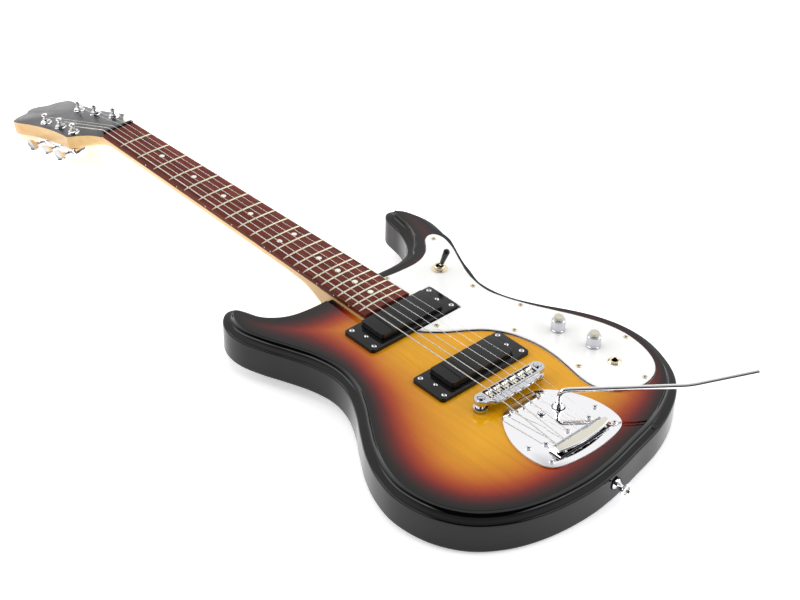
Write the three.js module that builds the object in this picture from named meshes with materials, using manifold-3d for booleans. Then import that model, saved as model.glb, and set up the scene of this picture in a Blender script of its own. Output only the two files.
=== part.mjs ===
// Solid-body electric guitar, millimetres, +Z up, +Y towards the headstock, +X to the treble side.
// The origin is on the flat back of the body, on the centreline, below the bridge end of the scale.
import * as THREE from 'three';
import { mergeVertices } from 'three/addons/utils/BufferGeometryUtils.js';
import Module from 'manifold-3d';

const wasm = await Module();
wasm.setup();

// ---------------------------------------------------------------- driving dimensions
const GAP = 0.3; // running clearance between neighbouring pieces
const SCALE_LENGTH = 628.65; // nut face to saddle crest
const BODY_THICKNESS = 40;
const NECK_TILT = THREE.MathUtils.degToRad(0.85);
const NECK_RISE = 12.2; // fingerboard edge plane above the body top, extended to the bridge
const HEAD_TILT = THREE.MathUtils.degToRad(14.85); // headstock face against the fingerboard
const HEAD_START_Y = 634.6;
const HEAD_DROP = 6.5; // headstock face below the fingerboard plane at the nut
const HEAD_THICKNESS = 16;
const BOARD_END_Y = 167; // fingerboard end nearest the bridge
const BOARD_THICKNESS = 5;
const BOARD_RADIUS = 305;
const NUT_WIDTH = 42;
const BOARD_END_WIDTH = 58;
const HEEL_DEPTH = 25.2; // heel underside below the fingerboard plane
const HEEL_FRONT_Y = 236;
const STRING_DIAMETERS = [0.25, 0.33, 0.43, 0.66, 0.91, 1.17]; // first to sixth string
const NUT_STRING_PITCH = 7.1;
const BRIDGE_STRING_PITCH = 10.4;
const STRING_TUBE_MIN = 0.5; // the thinnest strings are drawn at this diameter
const SADDLE_HEIGHT = 16.4; // string axis above the body top at the saddle crest
const NUT_STRING_RISE = 1.3; // string axis above the fingerboard plane at the nut
const BRIDGE_Y = -2;
const BRIDGE_POST_X = 37;
const PICKUP_RING = { width: 115, length: 43, height: 4.2 };
const PICKUP_COVER = { width: 79, length: 31.6, top: 11 };
const PICKUP_Y = { bridge: 47.8, neck: 145.4 };
const GUARD_THICKNESS = 2.4;
const KNOBS = { volume: [104.2, 33.9], tone: [111.6, -6.2] };
const JACK = [108.4, -36.8];
const SWITCH = [87.2, 184.2];
const LEVER_LEAN = THREE.MathUtils.degToRad(20);
const VIBRATO_PIVOT_Y = -78;
const ARM_POST = [18.8, -47.8];
const ARM_HEIGHT = 21.4; // arm axis above the body top
const ARM_DIAMETER = 4.8;
const ARM_HEADING = THREE.MathUtils.degToRad(-38); // in plan, from +X
const TUNER_ROWS = [ // distance along the headstock, post offset from the centreline
  [47.9, 28.4],
  [83.9, 24.6],
  [119.6, 23.4],
];
const BODY_TOP = BODY_THICKNESS;

// ---------------------------------------------------------------- solids and shapes
function solid(geometry) {
  const bare = geometry.clone();
  bare.deleteAttribute('normal');
  bare.deleteAttribute('uv');
  const merged = mergeVertices(bare, 1e-4);
  const vertProperties = new Float32Array(merged.attributes.position.array);
  const triVerts = new Uint32Array(merged.index.array);
  if (signedVolume(vertProperties, triVerts) < 0) {
    triVerts.reverse();
  }
  return new wasm.Manifold(new wasm.Mesh({ numProp: 3, vertProperties, triVerts }));
}

function signedVolume(position, index) {
  const [a, b, c] = [new THREE.Vector3(), new THREE.Vector3(), new THREE.Vector3()];
  let sum = 0;
  for (let i = 0; i < index.length; i += 3) {
    a.fromArray(position, 3 * index[i]);
    b.fromArray(position, 3 * index[i + 1]);
    c.fromArray(position, 3 * index[i + 2]);
    sum += a.dot(b.cross(c));
  }
  return sum;
}

function toGeometry(manifold) {
  const mesh = manifold.getMesh();
  const geometry = new THREE.BufferGeometry();
  geometry.setAttribute('position', new THREE.BufferAttribute(mesh.vertProperties, 3));
  geometry.setIndex(new THREE.BufferAttribute(mesh.triVerts, 1));
  geometry.computeVertexNormals();
  return geometry;
}

const union = (...parts) => parts.reduce((sum, part) => sum.add(part));
const cut = (base, ...tools) => tools.reduce((rest, tool) => rest.subtract(tool), base);

function at(geometry, x, y, z) {
  return solid(geometry.translate(x, y, z));
}

function box(x0, x1, y0, y1, z0, z1) {
  const geometry = new THREE.BoxGeometry(x1 - x0, y1 - y0, z1 - z0);
  return at(geometry, (x0 + x1) / 2, (y0 + y1) / 2, (z0 + z1) / 2);
}

function rod(radius, x, y, z0, z1, sides = 16) {
  const geometry = new THREE.CylinderGeometry(radius, radius, z1 - z0, sides);
  return at(geometry.rotateX(Math.PI / 2), x, y, (z0 + z1) / 2);
}

function rodAlongX(radius, x0, x1, y, z, sides = 12) {
  const geometry = new THREE.CylinderGeometry(radius, radius, x1 - x0, sides);
  return at(geometry.rotateZ(Math.PI / 2), (x0 + x1) / 2, y, z);
}

function rodAlongY(radius, x, y0, y1, z, sides = 12) {
  const geometry = new THREE.CylinderGeometry(radius, radius, y1 - y0, sides);
  return at(geometry, x, (y0 + y1) / 2, z);
}

// A turned piece about +Z: profile points are [radius, height], from axis to axis.
function turned(profile, sides = 16) {
  const points = profile.map(([radius, height]) => new THREE.Vector2(radius, height));
  return solid(new THREE.LatheGeometry(points, sides).rotateX(Math.PI / 2));
}

const vectors = (points) => points.map(([x, y]) => new THREE.Vector2(x, y));

function plate(points, z0, z1) {
  const shape = new THREE.Shape(vectors(points));
  const geometry = new THREE.ExtrudeGeometry(shape, { depth: z1 - z0, bevelEnabled: false });
  return at(geometry, 0, 0, z0);
}

function roundedRectangle(width, length, radius, cx = 0, cy = 0) {
  const [x, y] = [width / 2 - radius, length / 2 - radius];
  const shape = new THREE.Shape();
  shape.absarc(cx + x, cy + y, radius, 0, Math.PI / 2);
  shape.absarc(cx - x, cy + y, radius, Math.PI / 2, Math.PI);
  shape.absarc(cx - x, cy - y, radius, Math.PI, 1.5 * Math.PI);
  shape.absarc(cx + x, cy - y, radius, 1.5 * Math.PI, 2 * Math.PI);
  return shape;
}

function slab(shape, z0, z1, steps = 3) {
  const options = { depth: z1 - z0, bevelEnabled: false, curveSegments: steps };
  return at(new THREE.ExtrudeGeometry(shape, options), 0, 0, z0);
}

// A slab whose upper edge is chamfered.
function softSlab(width, length, radius, cx, cy, z0, z1, bevel) {
  const shape = roundedRectangle(width - 2 * bevel, length - 2 * bevel, radius, cx, cy);
  const options = {
    depth: z1 - z0 - bevel, bevelThickness: bevel, bevelSize: bevel, bevelSegments: 1, curveSegments: 3,
  };
  const geometry = new THREE.ExtrudeGeometry(shape, options);
  const lower = box(cx - width, cx + width, cy - length, cy + length, z0 - 2 * bevel - 1, z0);
  return at(geometry, 0, 0, z0).subtract(lower);
}

function smoothLoop(points, count) {
  const knots = points.map(([x, y]) => new THREE.Vector3(x, y, 0));
  const curve = new THREE.CatmullRomCurve3(knots, true, 'centripetal');
  return curve.getSpacedPoints(count).slice(0, count).map((p) => [p.x, p.y]);
}

// Skin over rings of equal length; flat() maps a ring point to the plane of the end caps.
function loft(rings, flat) {
  if (THREE.ShapeUtils.area(rings[0].map(flat)) < 0) {
    rings.forEach((ring) => ring.reverse());
  }
  const count = rings[0].length;
  const index = [];
  for (let k = 0; k + 1 < rings.length; k++) {
    for (let i = 0; i < count; i++) {
      const j = (i + 1) % count;
      index.push(k * count + i, k * count + j, (k + 1) * count + j);
      index.push(k * count + i, (k + 1) * count + j, (k + 1) * count + i);
    }
  }
  const last = (rings.length - 1) * count;
  for (const [a, b, c] of THREE.ShapeUtils.triangulateShape(rings[0].map(flat), [])) {
    index.push(c, b, a);
  }
  for (const [a, b, c] of THREE.ShapeUtils.triangulateShape(rings.at(-1).map(flat), [])) {
    index.push(last + a, last + b, last + c);
  }
  const geometry = new THREE.BufferGeometry();
  const position = rings.flat().flatMap((p) => [p.x, p.y, p.z]);
  geometry.setAttribute('position', new THREE.Float32BufferAttribute(position, 3));
  geometry.setIndex(index);
  return solid(geometry);
}

const onPlan = (p) => new THREE.Vector2(p.x, p.y);
const onSection = (p) => new THREE.Vector2(p.z, p.x);

// A round tube with flat ends along a list of points.
function tube(points, radius, steps, sides = 8, curved = true) {
  const path = curved ? new THREE.CatmullRomCurve3(points) : new THREE.CurvePath();
  if (!curved) {
    points.slice(1).forEach((point, i) => path.add(new THREE.LineCurve3(points[i], point)));
  }
  const ring = Array.from({ length: sides }, (_, i) => {
    const angle = (2 * Math.PI * i) / sides;
    return new THREE.Vector2(radius * Math.cos(angle), radius * Math.sin(angle));
  });
  const options = { steps, extrudePath: path, bevelEnabled: false };
  return solid(new THREE.ExtrudeGeometry(new THREE.Shape(ring), options));
}

// ---------------------------------------------------------------- assembly groups
const guitar = new THREE.Group();
const neckGroup = new THREE.Group();
neckGroup.position.set(0, 0, BODY_TOP + NECK_RISE);
neckGroup.rotation.x = -NECK_TILT;
const headGroup = new THREE.Group();
headGroup.position.set(0, HEAD_START_Y, -HEAD_DROP);
headGroup.rotation.x = -HEAD_TILT;
neckGroup.add(headGroup);
guitar.add(neckGroup);
guitar.updateMatrixWorld(true);

function transformed(manifold, matrix) {
  return solid(toGeometry(manifold).applyMatrix4(matrix));
}

const COLOURS = {
  sunburst: { color: 0xc8862a, roughness: 0.12 },
  maple: { color: 0xe9c88d, roughness: 0.35 },
  rosewood: { color: 0x6b3527, roughness: 0.55 },
  black: { color: 0x141416, roughness: 0.25 },
  whitePlastic: { color: 0xf2f2ee, roughness: 0.3 },
  chrome: { color: 0xd8dadc, roughness: 0.08, metalness: 1 },
  steel: { color: 0xa7a9ac, roughness: 0.35, metalness: 1 },
  nickelWire: { color: 0xb9b6ae, roughness: 0.3, metalness: 1 },
};

function addPart(name, manifold, colour, parent = guitar) {
  const mesh = new THREE.Mesh(toGeometry(manifold), new THREE.MeshStandardMaterial(COLOURS[colour]));
  mesh.name = name;
  parent.add(mesh);
}

// ---------------------------------------------------------------- body
const BODY_OUTLINE = [
  [-36, -139.6], [-82, -134], [-118, -121], [-146, -100], [-164, -70], [-170.5, -32], [-165, -2],
  [-153, 26], [-137, 52], [-121, 76], [-108, 102], [-103, 128], [-107, 155], [-117, 182],
  [-128, 208], [-135, 232], [-134.5, 252], [-127, 269], [-115, 277.8], [-105, 274.5], [-99.5, 264],
  [-94.5, 251], [-84, 239.5], [-68, 232], [-48, 229], [-20, 228.5], [20, 229], [45, 230],
  [62, 229.5], [77, 231], [89, 236], [98.5, 246], [105.5, 258], [111, 271.5], [114, 286],
  [117.5, 300], [125, 307.6], [135, 305], [144, 294], [149, 279], [150.3, 263], [147.5, 246],
  [141, 225], [132, 206], [124, 190], [115.5, 170], [112, 149], [114, 125], [121, 104],
  [133, 81], [148.5, 56], [162, 29], [169, 2], [169, -27], [161, -55], [148, -79.5],
  [130, -97.5], [104, -112.5], [76, -123], [40, -130.5], [2, -137.3],
];
const EDGE_PROFILE = [ // inset from the outline, height: rounded back edge, wall, carved ledge, cove
  [2.4, 0], [0, 2.4], [0, 31], [1.4, 32.8], [7.4, 34], [10.2, 37.4], [11.5, 40],
];
const OUTLINE_STEPS = 96;

// The carved ledge narrows where the pickguard runs close to the treble waist.
const NARROW_LEDGE = { y: 190, flat: 20, reach: 62, share: 0.22 };

function ledgeShare([x, y]) {
  if (x < 90) return 1;
  const run = (NARROW_LEDGE.reach - Math.abs(y - NARROW_LEDGE.y)) / (NARROW_LEDGE.reach - NARROW_LEDGE.flat);
  const t = THREE.MathUtils.clamp(run, 0, 1);
  return 1 - (1 - NARROW_LEDGE.share) * t * t * (3 - 2 * t);
}

// Inward unit normals, and how far each point may move before the tight bends close up.
function insets(outline) {
  const count = outline.length;
  const corner = outline.map(([x, y], i) => {
    const [px, py] = outline[(i + count - 2) % count];
    const [nx, ny] = outline[(i + 2) % count];
    const [ax, ay, bx, by] = [x - px, y - py, nx - x, ny - y];
    const length = Math.hypot(nx - px, ny - py);
    const turn = Math.atan2(ax * by - ay * bx, ax * bx + ay * by);
    const radius = turn < -1e-3 ? Math.hypot(ax, ay) / -turn : Infinity;
    return { normal: [(ny - py) / length, -(nx - px) / length], room: Math.min(1, (0.8 * radius) / 11.5) };
  });
  return corner.map(({ normal }, i) => {
    const near = [-3, -2, -1, 0, 1, 2, 3].map((k) => corner[(i + k + count) % count].room);
    return { normal, share: (near.reduce((a, b) => a + b) / near.length) * ledgeShare(outline[i]) };
  });
}

function bodyBlank() {
  const outline = smoothLoop(BODY_OUTLINE, OUTLINE_STEPS);
  const edge = insets(outline);
  const rings = EDGE_PROFILE.map(([inset, height]) => outline.map(([x, y], i) => {
    const { normal, share } = edge[i];
    return new THREE.Vector3(x + normal[0] * inset * share, y + normal[1] * inset * share, height);
  }));
  return loft(rings, onPlan);
}

function heelHalfWidth(y) {
  const along = (SCALE_LENGTH - y) / (SCALE_LENGTH - BOARD_END_Y);
  return (NUT_WIDTH + (BOARD_END_WIDTH - NUT_WIDTH) * along) / 2;
}

function neckPocket() {
  const [y0, y1] = [BOARD_END_Y - 1, 262];
  const [w0, w1] = [heelHalfWidth(y0) + GAP, heelHalfWidth(y1) + GAP];
  return plate([[-w0, y0], [w0, y0], [w1, y1], [-w1, y1]], -HEEL_DEPTH - GAP, 12);
}

function pickupRout(y) {
  const shape = roundedRectangle(PICKUP_COVER.width + 10, PICKUP_COVER.length + 6, 4, 0, y);
  return slab(shape, BODY_TOP - 20, BODY_TOP + 1);
}

const CONTROL_ROUT = { x0: 88, x1: 126, y0: -56, y1: 52, floor: 8 };

function controlRouts() {
  const { x0, x1, y0, y1, floor } = CONTROL_ROUT;
  return [
    slab(roundedRectangle(x1 - x0, y1 - y0, 8, (x0 + x1) / 2, (y0 + y1) / 2), floor, BODY_TOP + 1),
    slab(roundedRectangle(34, 34, 8, SWITCH[0], SWITCH[1]), floor, BODY_TOP + 1),
    box(84, 93, 40, 180, BODY_TOP - 14, BODY_TOP + 1),
  ];
}

const VIBRATO_ROUT = { width: 66, y0: -92, y1: -36, floor: 22 };

function vibratoRout() {
  const { width, y0, y1, floor } = VIBRATO_ROUT;
  return slab(roundedRectangle(width, y1 - y0, 6, 0, (y0 + y1) / 2), floor, BODY_TOP + 1);
}

function makeBody() {
  const posts = [-1, 1].map((side) => rod(4.2, side * BRIDGE_POST_X, BRIDGE_Y, 18, BODY_TOP + 1, 14));
  const pocket = transformed(neckPocket(), neckGroup.matrixWorld);
  const routs = [pickupRout(PICKUP_Y.bridge), pickupRout(PICKUP_Y.neck), ...controlRouts()];
  return cut(bodyBlank(), pocket, vibratoRout(), ...routs, ...posts);
}

// ---------------------------------------------------------------- neck, in the neck's own frame
const SECTION_STEPS = 14;

// One section: flat under the fingerboard, a super-ellipse below it.
function neckSection(y, halfWidth, depth, power) {
  const top = -BOARD_THICKNESS - 1;
  const below = depth + top;
  return Array.from({ length: SECTION_STEPS }, (_, i) => {
    const angle = Math.PI * (i / (SECTION_STEPS - 1));
    const [c, s] = [Math.cos(angle), Math.sin(angle)];
    const x = halfWidth * Math.sign(c) * Math.abs(c) ** (2 / power);
    return new THREE.Vector3(x, y, top - below * Math.abs(s) ** (2 / power));
  });
}

function neckShaft() {
  const stations = [ // distance along the neck, depth, squareness of the section
    [BOARD_END_Y + 0.4, HEEL_DEPTH, 40], [HEEL_FRONT_Y, HEEL_DEPTH, 40], [244, HEEL_DEPTH - 0.6, 8],
    [254, HEEL_DEPTH - 1.6, 4], [268, 23.4, 2.6], [300, 22.6, 2.2], [420, 21.9, 2.2],
    [600, 20.6, 2.2], [622, 20.8, 2.2], [HEAD_START_Y + 4, 22.5, 2.4],
  ];
  const rings = stations.map(([y, depth, power]) => neckSection(y, heelHalfWidth(y), depth, power));
  return loft(rings, onSection);
}

const HEAD_HALF_OUTLINE = [ // half-width against distance from the nut
  [21, -6], [21, 0], [24, 18], [30, 31], [40.5, 45.5], [37, 68], [34.8, 95], [35, 120], [36.8, 144],
  [39.6, 164], [39, 173],
];
const HEAD_END = [[28, 180.5], [18, 182.5], [13, 184.8], [7.5, 190.6], [0, 193.6]];

function headstock() {
  const right = [...HEAD_HALF_OUTLINE, ...HEAD_END];
  const left = right.slice(0, -1).reverse().map(([x, t]) => [-x, t]);
  return plate([...right, ...left], -HEAD_THICKNESS, 0);
}

function tunerPlaces() {
  const places = [];
  for (const side of [-1, 1]) {
    TUNER_ROWS.forEach(([t, offset]) => places.push({ side, t, x: side * offset }));
  }
  return places;
}

const ROD_CHANNEL = { width: 6, y0: 172, y1: 618, depth: 15.5 };

function makeNeck() {
  const head = cut(headstock(), ...tunerPlaces().map(({ x, t }) => rod(5, x, t, -20, 4, 14)));
  const { width, y0, y1, depth } = ROD_CHANNEL;
  const channel = box(-width / 2, width / 2, y0 - 8, y1, -depth, 0);
  const aboveHead = box(-60, 60, HEAD_START_Y, HEAD_START_Y + 60, -HEAD_DROP, 20);
  const shaft = cut(neckShaft(), channel, aboveHead);
  const overFace = transformed(box(-60, 60, -2, 60, 0, 30), headGroup.matrix);
  const nutSeat = box(-60, 60, SCALE_LENGTH - 20, HEAD_START_Y, -BOARD_THICKNESS - 1, 20);
  return union(shaft.subtract(overFace), transformed(head, headGroup.matrix)).subtract(nutSeat);
}

function makeTrussRod() {
  const { width, y0, y1, depth } = ROD_CHANNEL;
  const half = width / 2 - GAP;
  const bar = box(-half, half, y0 + 12, y1 - GAP, -depth + GAP, -BOARD_THICKNESS - 1 - GAP);
  return bar.add(rodAlongY(2.6, 0, y0 - 3, y0 + 14, -depth + 4.4, 8));
}

function makeFretboard() {
  const ring = (y, halfWidth) => {
    const crown = [-1, -0.5, 0, 0.5, 1].map((f) => {
      const x = f * halfWidth;
      return new THREE.Vector3(x, y, -1 + (halfWidth ** 2 - x ** 2) / (2 * BOARD_RADIUS));
    });
    const under = -BOARD_THICKNESS - 1 + GAP / 2;
    return [...crown, new THREE.Vector3(halfWidth, y, under), new THREE.Vector3(-halfWidth, y, under)];
  };
  const far = SCALE_LENGTH - 0.1;
  return loft([ring(BOARD_END_Y, BOARD_END_WIDTH / 2), ring(far, heelHalfWidth(far))], onSection);
}

function makeNut() {
  const half = NUT_WIDTH / 2 - 0.3;
  const outline = [[-half, -BOARD_THICKNESS - 0.7], [half, -BOARD_THICKNESS - 0.7], [half, -0.4],
    [half - 3, 0.5], [-half + 3, 0.5], [-half, -0.4]];
  const [y0, y1] = [SCALE_LENGTH + 0.2, HEAD_START_Y - 0.4];
  const rings = [y0, y1].map((y) => outline.map(([x, z]) => new THREE.Vector3(x, y, z)));
  return loft(rings, onSection);
}

function makeNeckPlate() {
  return softSlab(51, 64, 4, 0, 200, -2.3, -GAP, 0.5);
}

// ---------------------------------------------------------------- pickguard, pickups, controls
const GUARD_EDGE = [ // outer edge, from the lower corner by the neck pickup round to the neck
  [-2, 121.8], [8, 111.5], [20, 101.5], [36, 91], [49.5, 80.5], [60.5, 66.5], [68.4, 48.3], [72.4, 27],
  [71.9, 5.7], [68.6, -14.9], [65.9, -29.8], [65.3, -43], [68, -55], [76, -66.5], [90, -75],
  [103, -78.3], [115, -77.3], [127, -72.5], [137.5, -63], [145, -49], [149.5, -32], [151, -14],
  [148, 7], [138.5, 33], [125, 60], [113.8, 82], [104.3, 104.9], [99, 127], [103.2, 155],
  [114.8, 182], [125.7, 204.9], [130.5, 224], [127.4, 234.6], [120.6, 237.4], [113, 234.5],
  [105, 225], [97, 217], [86, 211], [74.7, 208.4], [54.6, 208.6], [37, 210.5], [29.6, 211.6],
];

function makePickguard() {
  const right = PICKUP_RING.width / 2 + 0.6;
  const upper = PICKUP_Y.neck + PICKUP_RING.length / 2 + 0.6;
  const lower = PICKUP_Y.neck - PICKUP_RING.length / 2 - 0.6;
  const notch = [[30.2, upper], [right, upper], [right, lower], [-2, lower]];
  const knots = GUARD_EDGE.map(([x, y]) => new THREE.Vector2(x, y));
  const edge = new THREE.SplineCurve(knots).getSpacedPoints(72).map((p) => [p.x, p.y]);
  const sheet = plate([...edge, ...notch], BODY_TOP, BODY_TOP + GUARD_THICKNESS);
  const hole = (radius, [x, y]) => rod(radius, x, y, BODY_TOP - 1, BODY_TOP + 4, 16);
  return cut(sheet, hole(5, KNOBS.volume), hole(5, KNOBS.tone), hole(5, JACK), hole(6.3, SWITCH));
}

function makePickupRing(y) {
  const { width, length, height } = PICKUP_RING;
  const frame = softSlab(width, length, 4, 0, y, BODY_TOP, BODY_TOP + height, 0.8);
  const opening = roundedRectangle(PICKUP_COVER.width + 1.6, PICKUP_COVER.length + 1.6, 2.4, 0, y);
  return frame.subtract(slab(opening, BODY_TOP - 1, BODY_TOP + 8));
}

// Coil housing with a flat top, and a baseplate with two ears under the ring.
function makePickup(y) {
  const { width, length, top } = PICKUP_COVER;
  const cover = softSlab(width, length, 2, 0, y, BODY_TOP - 7, BODY_TOP + top, 0.8);
  const ears = box(-width / 2 - 4.2, width / 2 + 4.2, y - 6, y + 6, BODY_TOP - 9, BODY_TOP - 6.9);
  return cover.add(ears);
}

function makePotentiometer([x, y]) {
  const can = rod(8.6, x, y, BODY_TOP - 11, BODY_TOP - 2, 20);
  const bushing = rod(4.7, x, y, BODY_TOP - 3, BODY_TOP + GUARD_THICKNESS + 2.6, 16);
  const bore = rod(3.5, x, y, BODY_TOP - 9, BODY_TOP + 9, 14);
  return union(can, bushing).subtract(bore);
}

// Knob and the shaft it is pressed on.
function makeKnob([x, y]) {
  const base = BODY_TOP + GUARD_THICKNESS + 0.6;
  const top = BODY_TOP + 18.3;
  const skirt = turned([[0, base], [7.2, base], [7.2, base + 1.2], [7, base + 1.8], [6.9, base + 11.2],
    [6.2, base + 12], [4.9, base + 12.4], [4.8, top - 0.6], [4.2, top], [0, top]], 16);
  const room = rod(5.2, 0, 0, base - 1, base + 3, 16);
  const shaft = rod(3.1, 0, 0, BODY_TOP - 8.5, base + 4, 12);
  return union(skirt.subtract(room), shaft).translate([x, y, 0]);
}

function makeJack([x, y]) {
  const top = BODY_TOP + GUARD_THICKNESS;
  const flange = turned([[0, top + 0.1], [6.9, top + 0.1], [6.6, top + 1.4], [5, top + 2], [0, top + 2]], 20);
  const barrel = rod(4.7, 0, 0, BODY_TOP - 14, top + 0.2, 16);
  const sleeve = rod(7.5, 0, 0, BODY_TOP - 22, BODY_TOP - 2, 16);
  const bore = rod(3.25, 0, 0, BODY_TOP - 20, top + 4, 16);
  return union(flange, barrel, sleeve).subtract(bore).translate([x, y, 0]);
}

function makeSwitchBody([x, y]) {
  const top = BODY_TOP + GUARD_THICKNESS;
  const collar = turned([[0, top + 0.1], [8.3, top + 0.1], [8.1, top + 1], [6.2, top + 1.5], [5.9, top + 3.6],
    [4.8, top + 4.2], [0, top + 4.2]], 20);
  const stem = rod(5.9, 0, 0, BODY_TOP - 4, top + 0.2, 16);
  const frame = box(-11, 11, -9, 9, BODY_TOP - 26, BODY_TOP - 3);
  const hollow = box(-8, 8, -7.6, 7.6, BODY_TOP - 27, BODY_TOP - 6);
  const throat = turned([[0, BODY_TOP - 7], [5, BODY_TOP - 7], [3.3, top - 1], [4.3, top + 5],
    [0, top + 5]], 14);
  return cut(union(collar, stem, frame), hollow, throat).translate([x, y, 0]);
}

// Lever about an axis along X through its ball, leaning towards the bridge at rest.
const LEVER_PIVOT_Z = BODY_TOP + 2.6;

function makeSwitchLever([x, y]) {
  const profile = [[0, -12], [1.4, -12], [1.6, -2.4], [2.5, -1.2], [2.7, 0], [2.5, 1.2], [1.6, 2.4],
    [1.6, 8.4], [2.2, 8.8], [2.4, 10], [3.4, 26.6], [3.1, 28.2], [1.8, 29.2], [0, 29.2]];
  return turned(profile, 14).rotate([THREE.MathUtils.radToDeg(LEVER_LEAN), 0, 0])
    .translate([x, y, LEVER_PIVOT_Z]);
}

// ---------------------------------------------------------------- bridge
const BASE = { bottom: 8.6, top: 13.8, front: 5.2, rear: -9.4, halfLength: 43.6 };
const SADDLE = { width: 8.6, front: 3.1, rear: -7.3 };

function stringX(number, pitch) {
  return (3.5 - number) * pitch;
}

function makeBridgeBase() {
  const { bottom, top, front, rear, halfLength } = BASE;
  const [z0, z1] = [BODY_TOP + bottom, BODY_TOP + top];
  const middle = (front + rear) / 2;
  const ends = slab(roundedRectangle(2 * halfLength, front - rear, 7, 0, middle), z0, z1, 4);
  const bulge = plate([[-33, rear + 3], [33, rear + 3], [31, rear - 3], [25, rear - 5], [-25, rear - 5],
    [-31, rear - 3]], z0, z1 - 2);
  const trough = box(-31.6, 31.6, rear + 1.6, front - 1.6, z0 + 1.6, z1 + 1);
  const posts = [-1, 1].map((side) => rod(4, side * BRIDGE_POST_X, BRIDGE_Y, z0 - 1, z1 + 1, 16));
  return cut(union(ends, bulge), trough, ...posts);
}

// A block with a sharp crest; the string crosses the crest just above it.
function makeSaddle(number) {
  const z0 = BODY_TOP + BASE.bottom + 1.6 + GAP;
  const crest = BODY_TOP + SADDLE_HEIGHT - STRING_DIAMETERS[5] / 2 - GAP;
  const [front, rear, half] = [1.9, -6, SADDLE.width / 2];
  const profile = [[front, z0], [front, crest - 2.6], [BRIDGE_Y + 2.4, crest - 0.4], [BRIDGE_Y + 2, crest],
    [BRIDGE_Y + 1.2, crest], [rear, crest - 2.8], [rear, z0]];
  const x = stringX(number, BRIDGE_STRING_PITCH);
  const rings = [x - half, x + half].map((at) => profile.map(([y, z]) => new THREE.Vector3(at, y, z)));
  return loft(rings, (p) => new THREE.Vector2(p.y, p.z));
}

function makeBridgePost(side) {
  const z = BODY_TOP;
  const profile = [[0, z - 20], [3.9, z - 20], [3.9, z - 0.4], [2.9, z], [2.9, z + 4.4], [2.9, z + 13],
    [3.6, z + 13.6], [3.6, z + 15.1], [3, z + 15.7], [0, z + 15.7]];
  const slot = box(-5, 5, -0.5, 0.5, z + 14.6, z + 17);
  return turned(profile, 16).subtract(slot).translate([side * BRIDGE_POST_X, BRIDGE_Y, 0]);
}

function makeBridgeWheel(side) {
  const z = BODY_TOP + 0.6;
  const profile = [[3.3, z], [6.6, z], [7.3, z + 0.6], [7.3, z + 2.6], [6.6, z + 3.2], [4.2, z + 3.2],
    [4.2, z + 7.5], [3.3, z + 7.5], [3.3, z]];
  return turned(profile, 16).translate([side * BRIDGE_POST_X, BRIDGE_Y, 0]);
}

// ---------------------------------------------------------------- vibrato tailpiece
const VIBRATO_HALF = [ // half-width against distance behind the bridge, front to rear
  [0, -15.6], [12, -15.8], [21, -17.8], [30, -23.5], [38, -32.5], [45, -44], [50.5, -58], [53, -73],
  [52.6, -87], [49.6, -97.5], [44, -103.4], [34, -107], [18, -109.6], [0, -110.6],
];
const VIBRATO_SKIN = 1.8;
const ANCHOR = { half: 33, front: -91, rear: -100, ballY: -97.4, ballZ: 6.6 };

function makeVibratoPlate() {
  const left = VIBRATO_HALF.slice(1, -1).reverse().map(([x, y]) => [-x, y]);
  const outline = smoothLoop([...VIBRATO_HALF, ...left], 56);
  const sheet = plate(outline, BODY_TOP, BODY_TOP + VIBRATO_SKIN);
  const armHole = rod(6.6, ARM_POST[0], ARM_POST[1], BODY_TOP - 1, BODY_TOP + 4, 18);
  const slot = box(-28, 28, -90.4, -83, BODY_TOP - 1, BODY_TOP + 4);
  const springHole = rod(3.6, 0, -44, BODY_TOP - 1, BODY_TOP + 4, 16);
  return cut(sheet, armHole, slot, springHole);
}

// Rocker: tongue under the plate with the arm socket, a web through the slot, and a channel, open
// to the rear, whose front wall holds the ball ends of the strings.
function makeRocker() {
  const skin = BODY_TOP + VIBRATO_SKIN;
  const tongue = box(-27, 27, -88.6, -40, BODY_TOP - 5.4, BODY_TOP - 2);
  const web = box(-27, 27, -88.6, -85.2, BODY_TOP - 4, skin + 5);
  const { half, front, rear } = ANCHOR;
  const section = [[-85.2, skin + 1.4], [-85.2, skin + 4.4], [front + 0.8, skin + 4.8],
    [front, skin + 8], [front - 1.6, skin + 8.8], [front - 10, skin + 7.2], [front - 10, skin + 6],
    [front - 4, skin + 7], [front - 3.4, skin + 2.8], [rear, skin + 2.6], [rear, skin + 1.4]];
  const rings = [-half, half].map((x) => section.map(([y, z]) => new THREE.Vector3(x, y, z)));
  const anchor = loft(rings, (p) => new THREE.Vector2(p.y, p.z));
  const socket = turned([[0, BODY_TOP - 5], [5.4, BODY_TOP - 5], [5.4, skin + 4], [4.6, skin + 5.4],
    [0, skin + 5.4]], 18).translate([ARM_POST[0], ARM_POST[1], 0]);
  const socketBore = rod(ARM_DIAMETER / 2 + GAP, ARM_POST[0], ARM_POST[1], BODY_TOP - 4.4, skin + 8, 14);
  const adjuster = rod(2.9, 0, -44, BODY_TOP - 10, BODY_TOP + 6, 12);
  return cut(union(tongue, web, anchor, socket), socketBore, adjuster, ...stringHoles());
}

function stringHoles() {
  return stringPaths().map(({ points, radius }) => {
    const [end, saddle] = points;
    const along = end.clone().sub(saddle).normalize();
    const path = [end.clone().addScaledVector(along, 1), end.clone().addScaledVector(along, -30)];
    return tube(path, radius + 1.1, 1, 8, false);
  });
}

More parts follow.
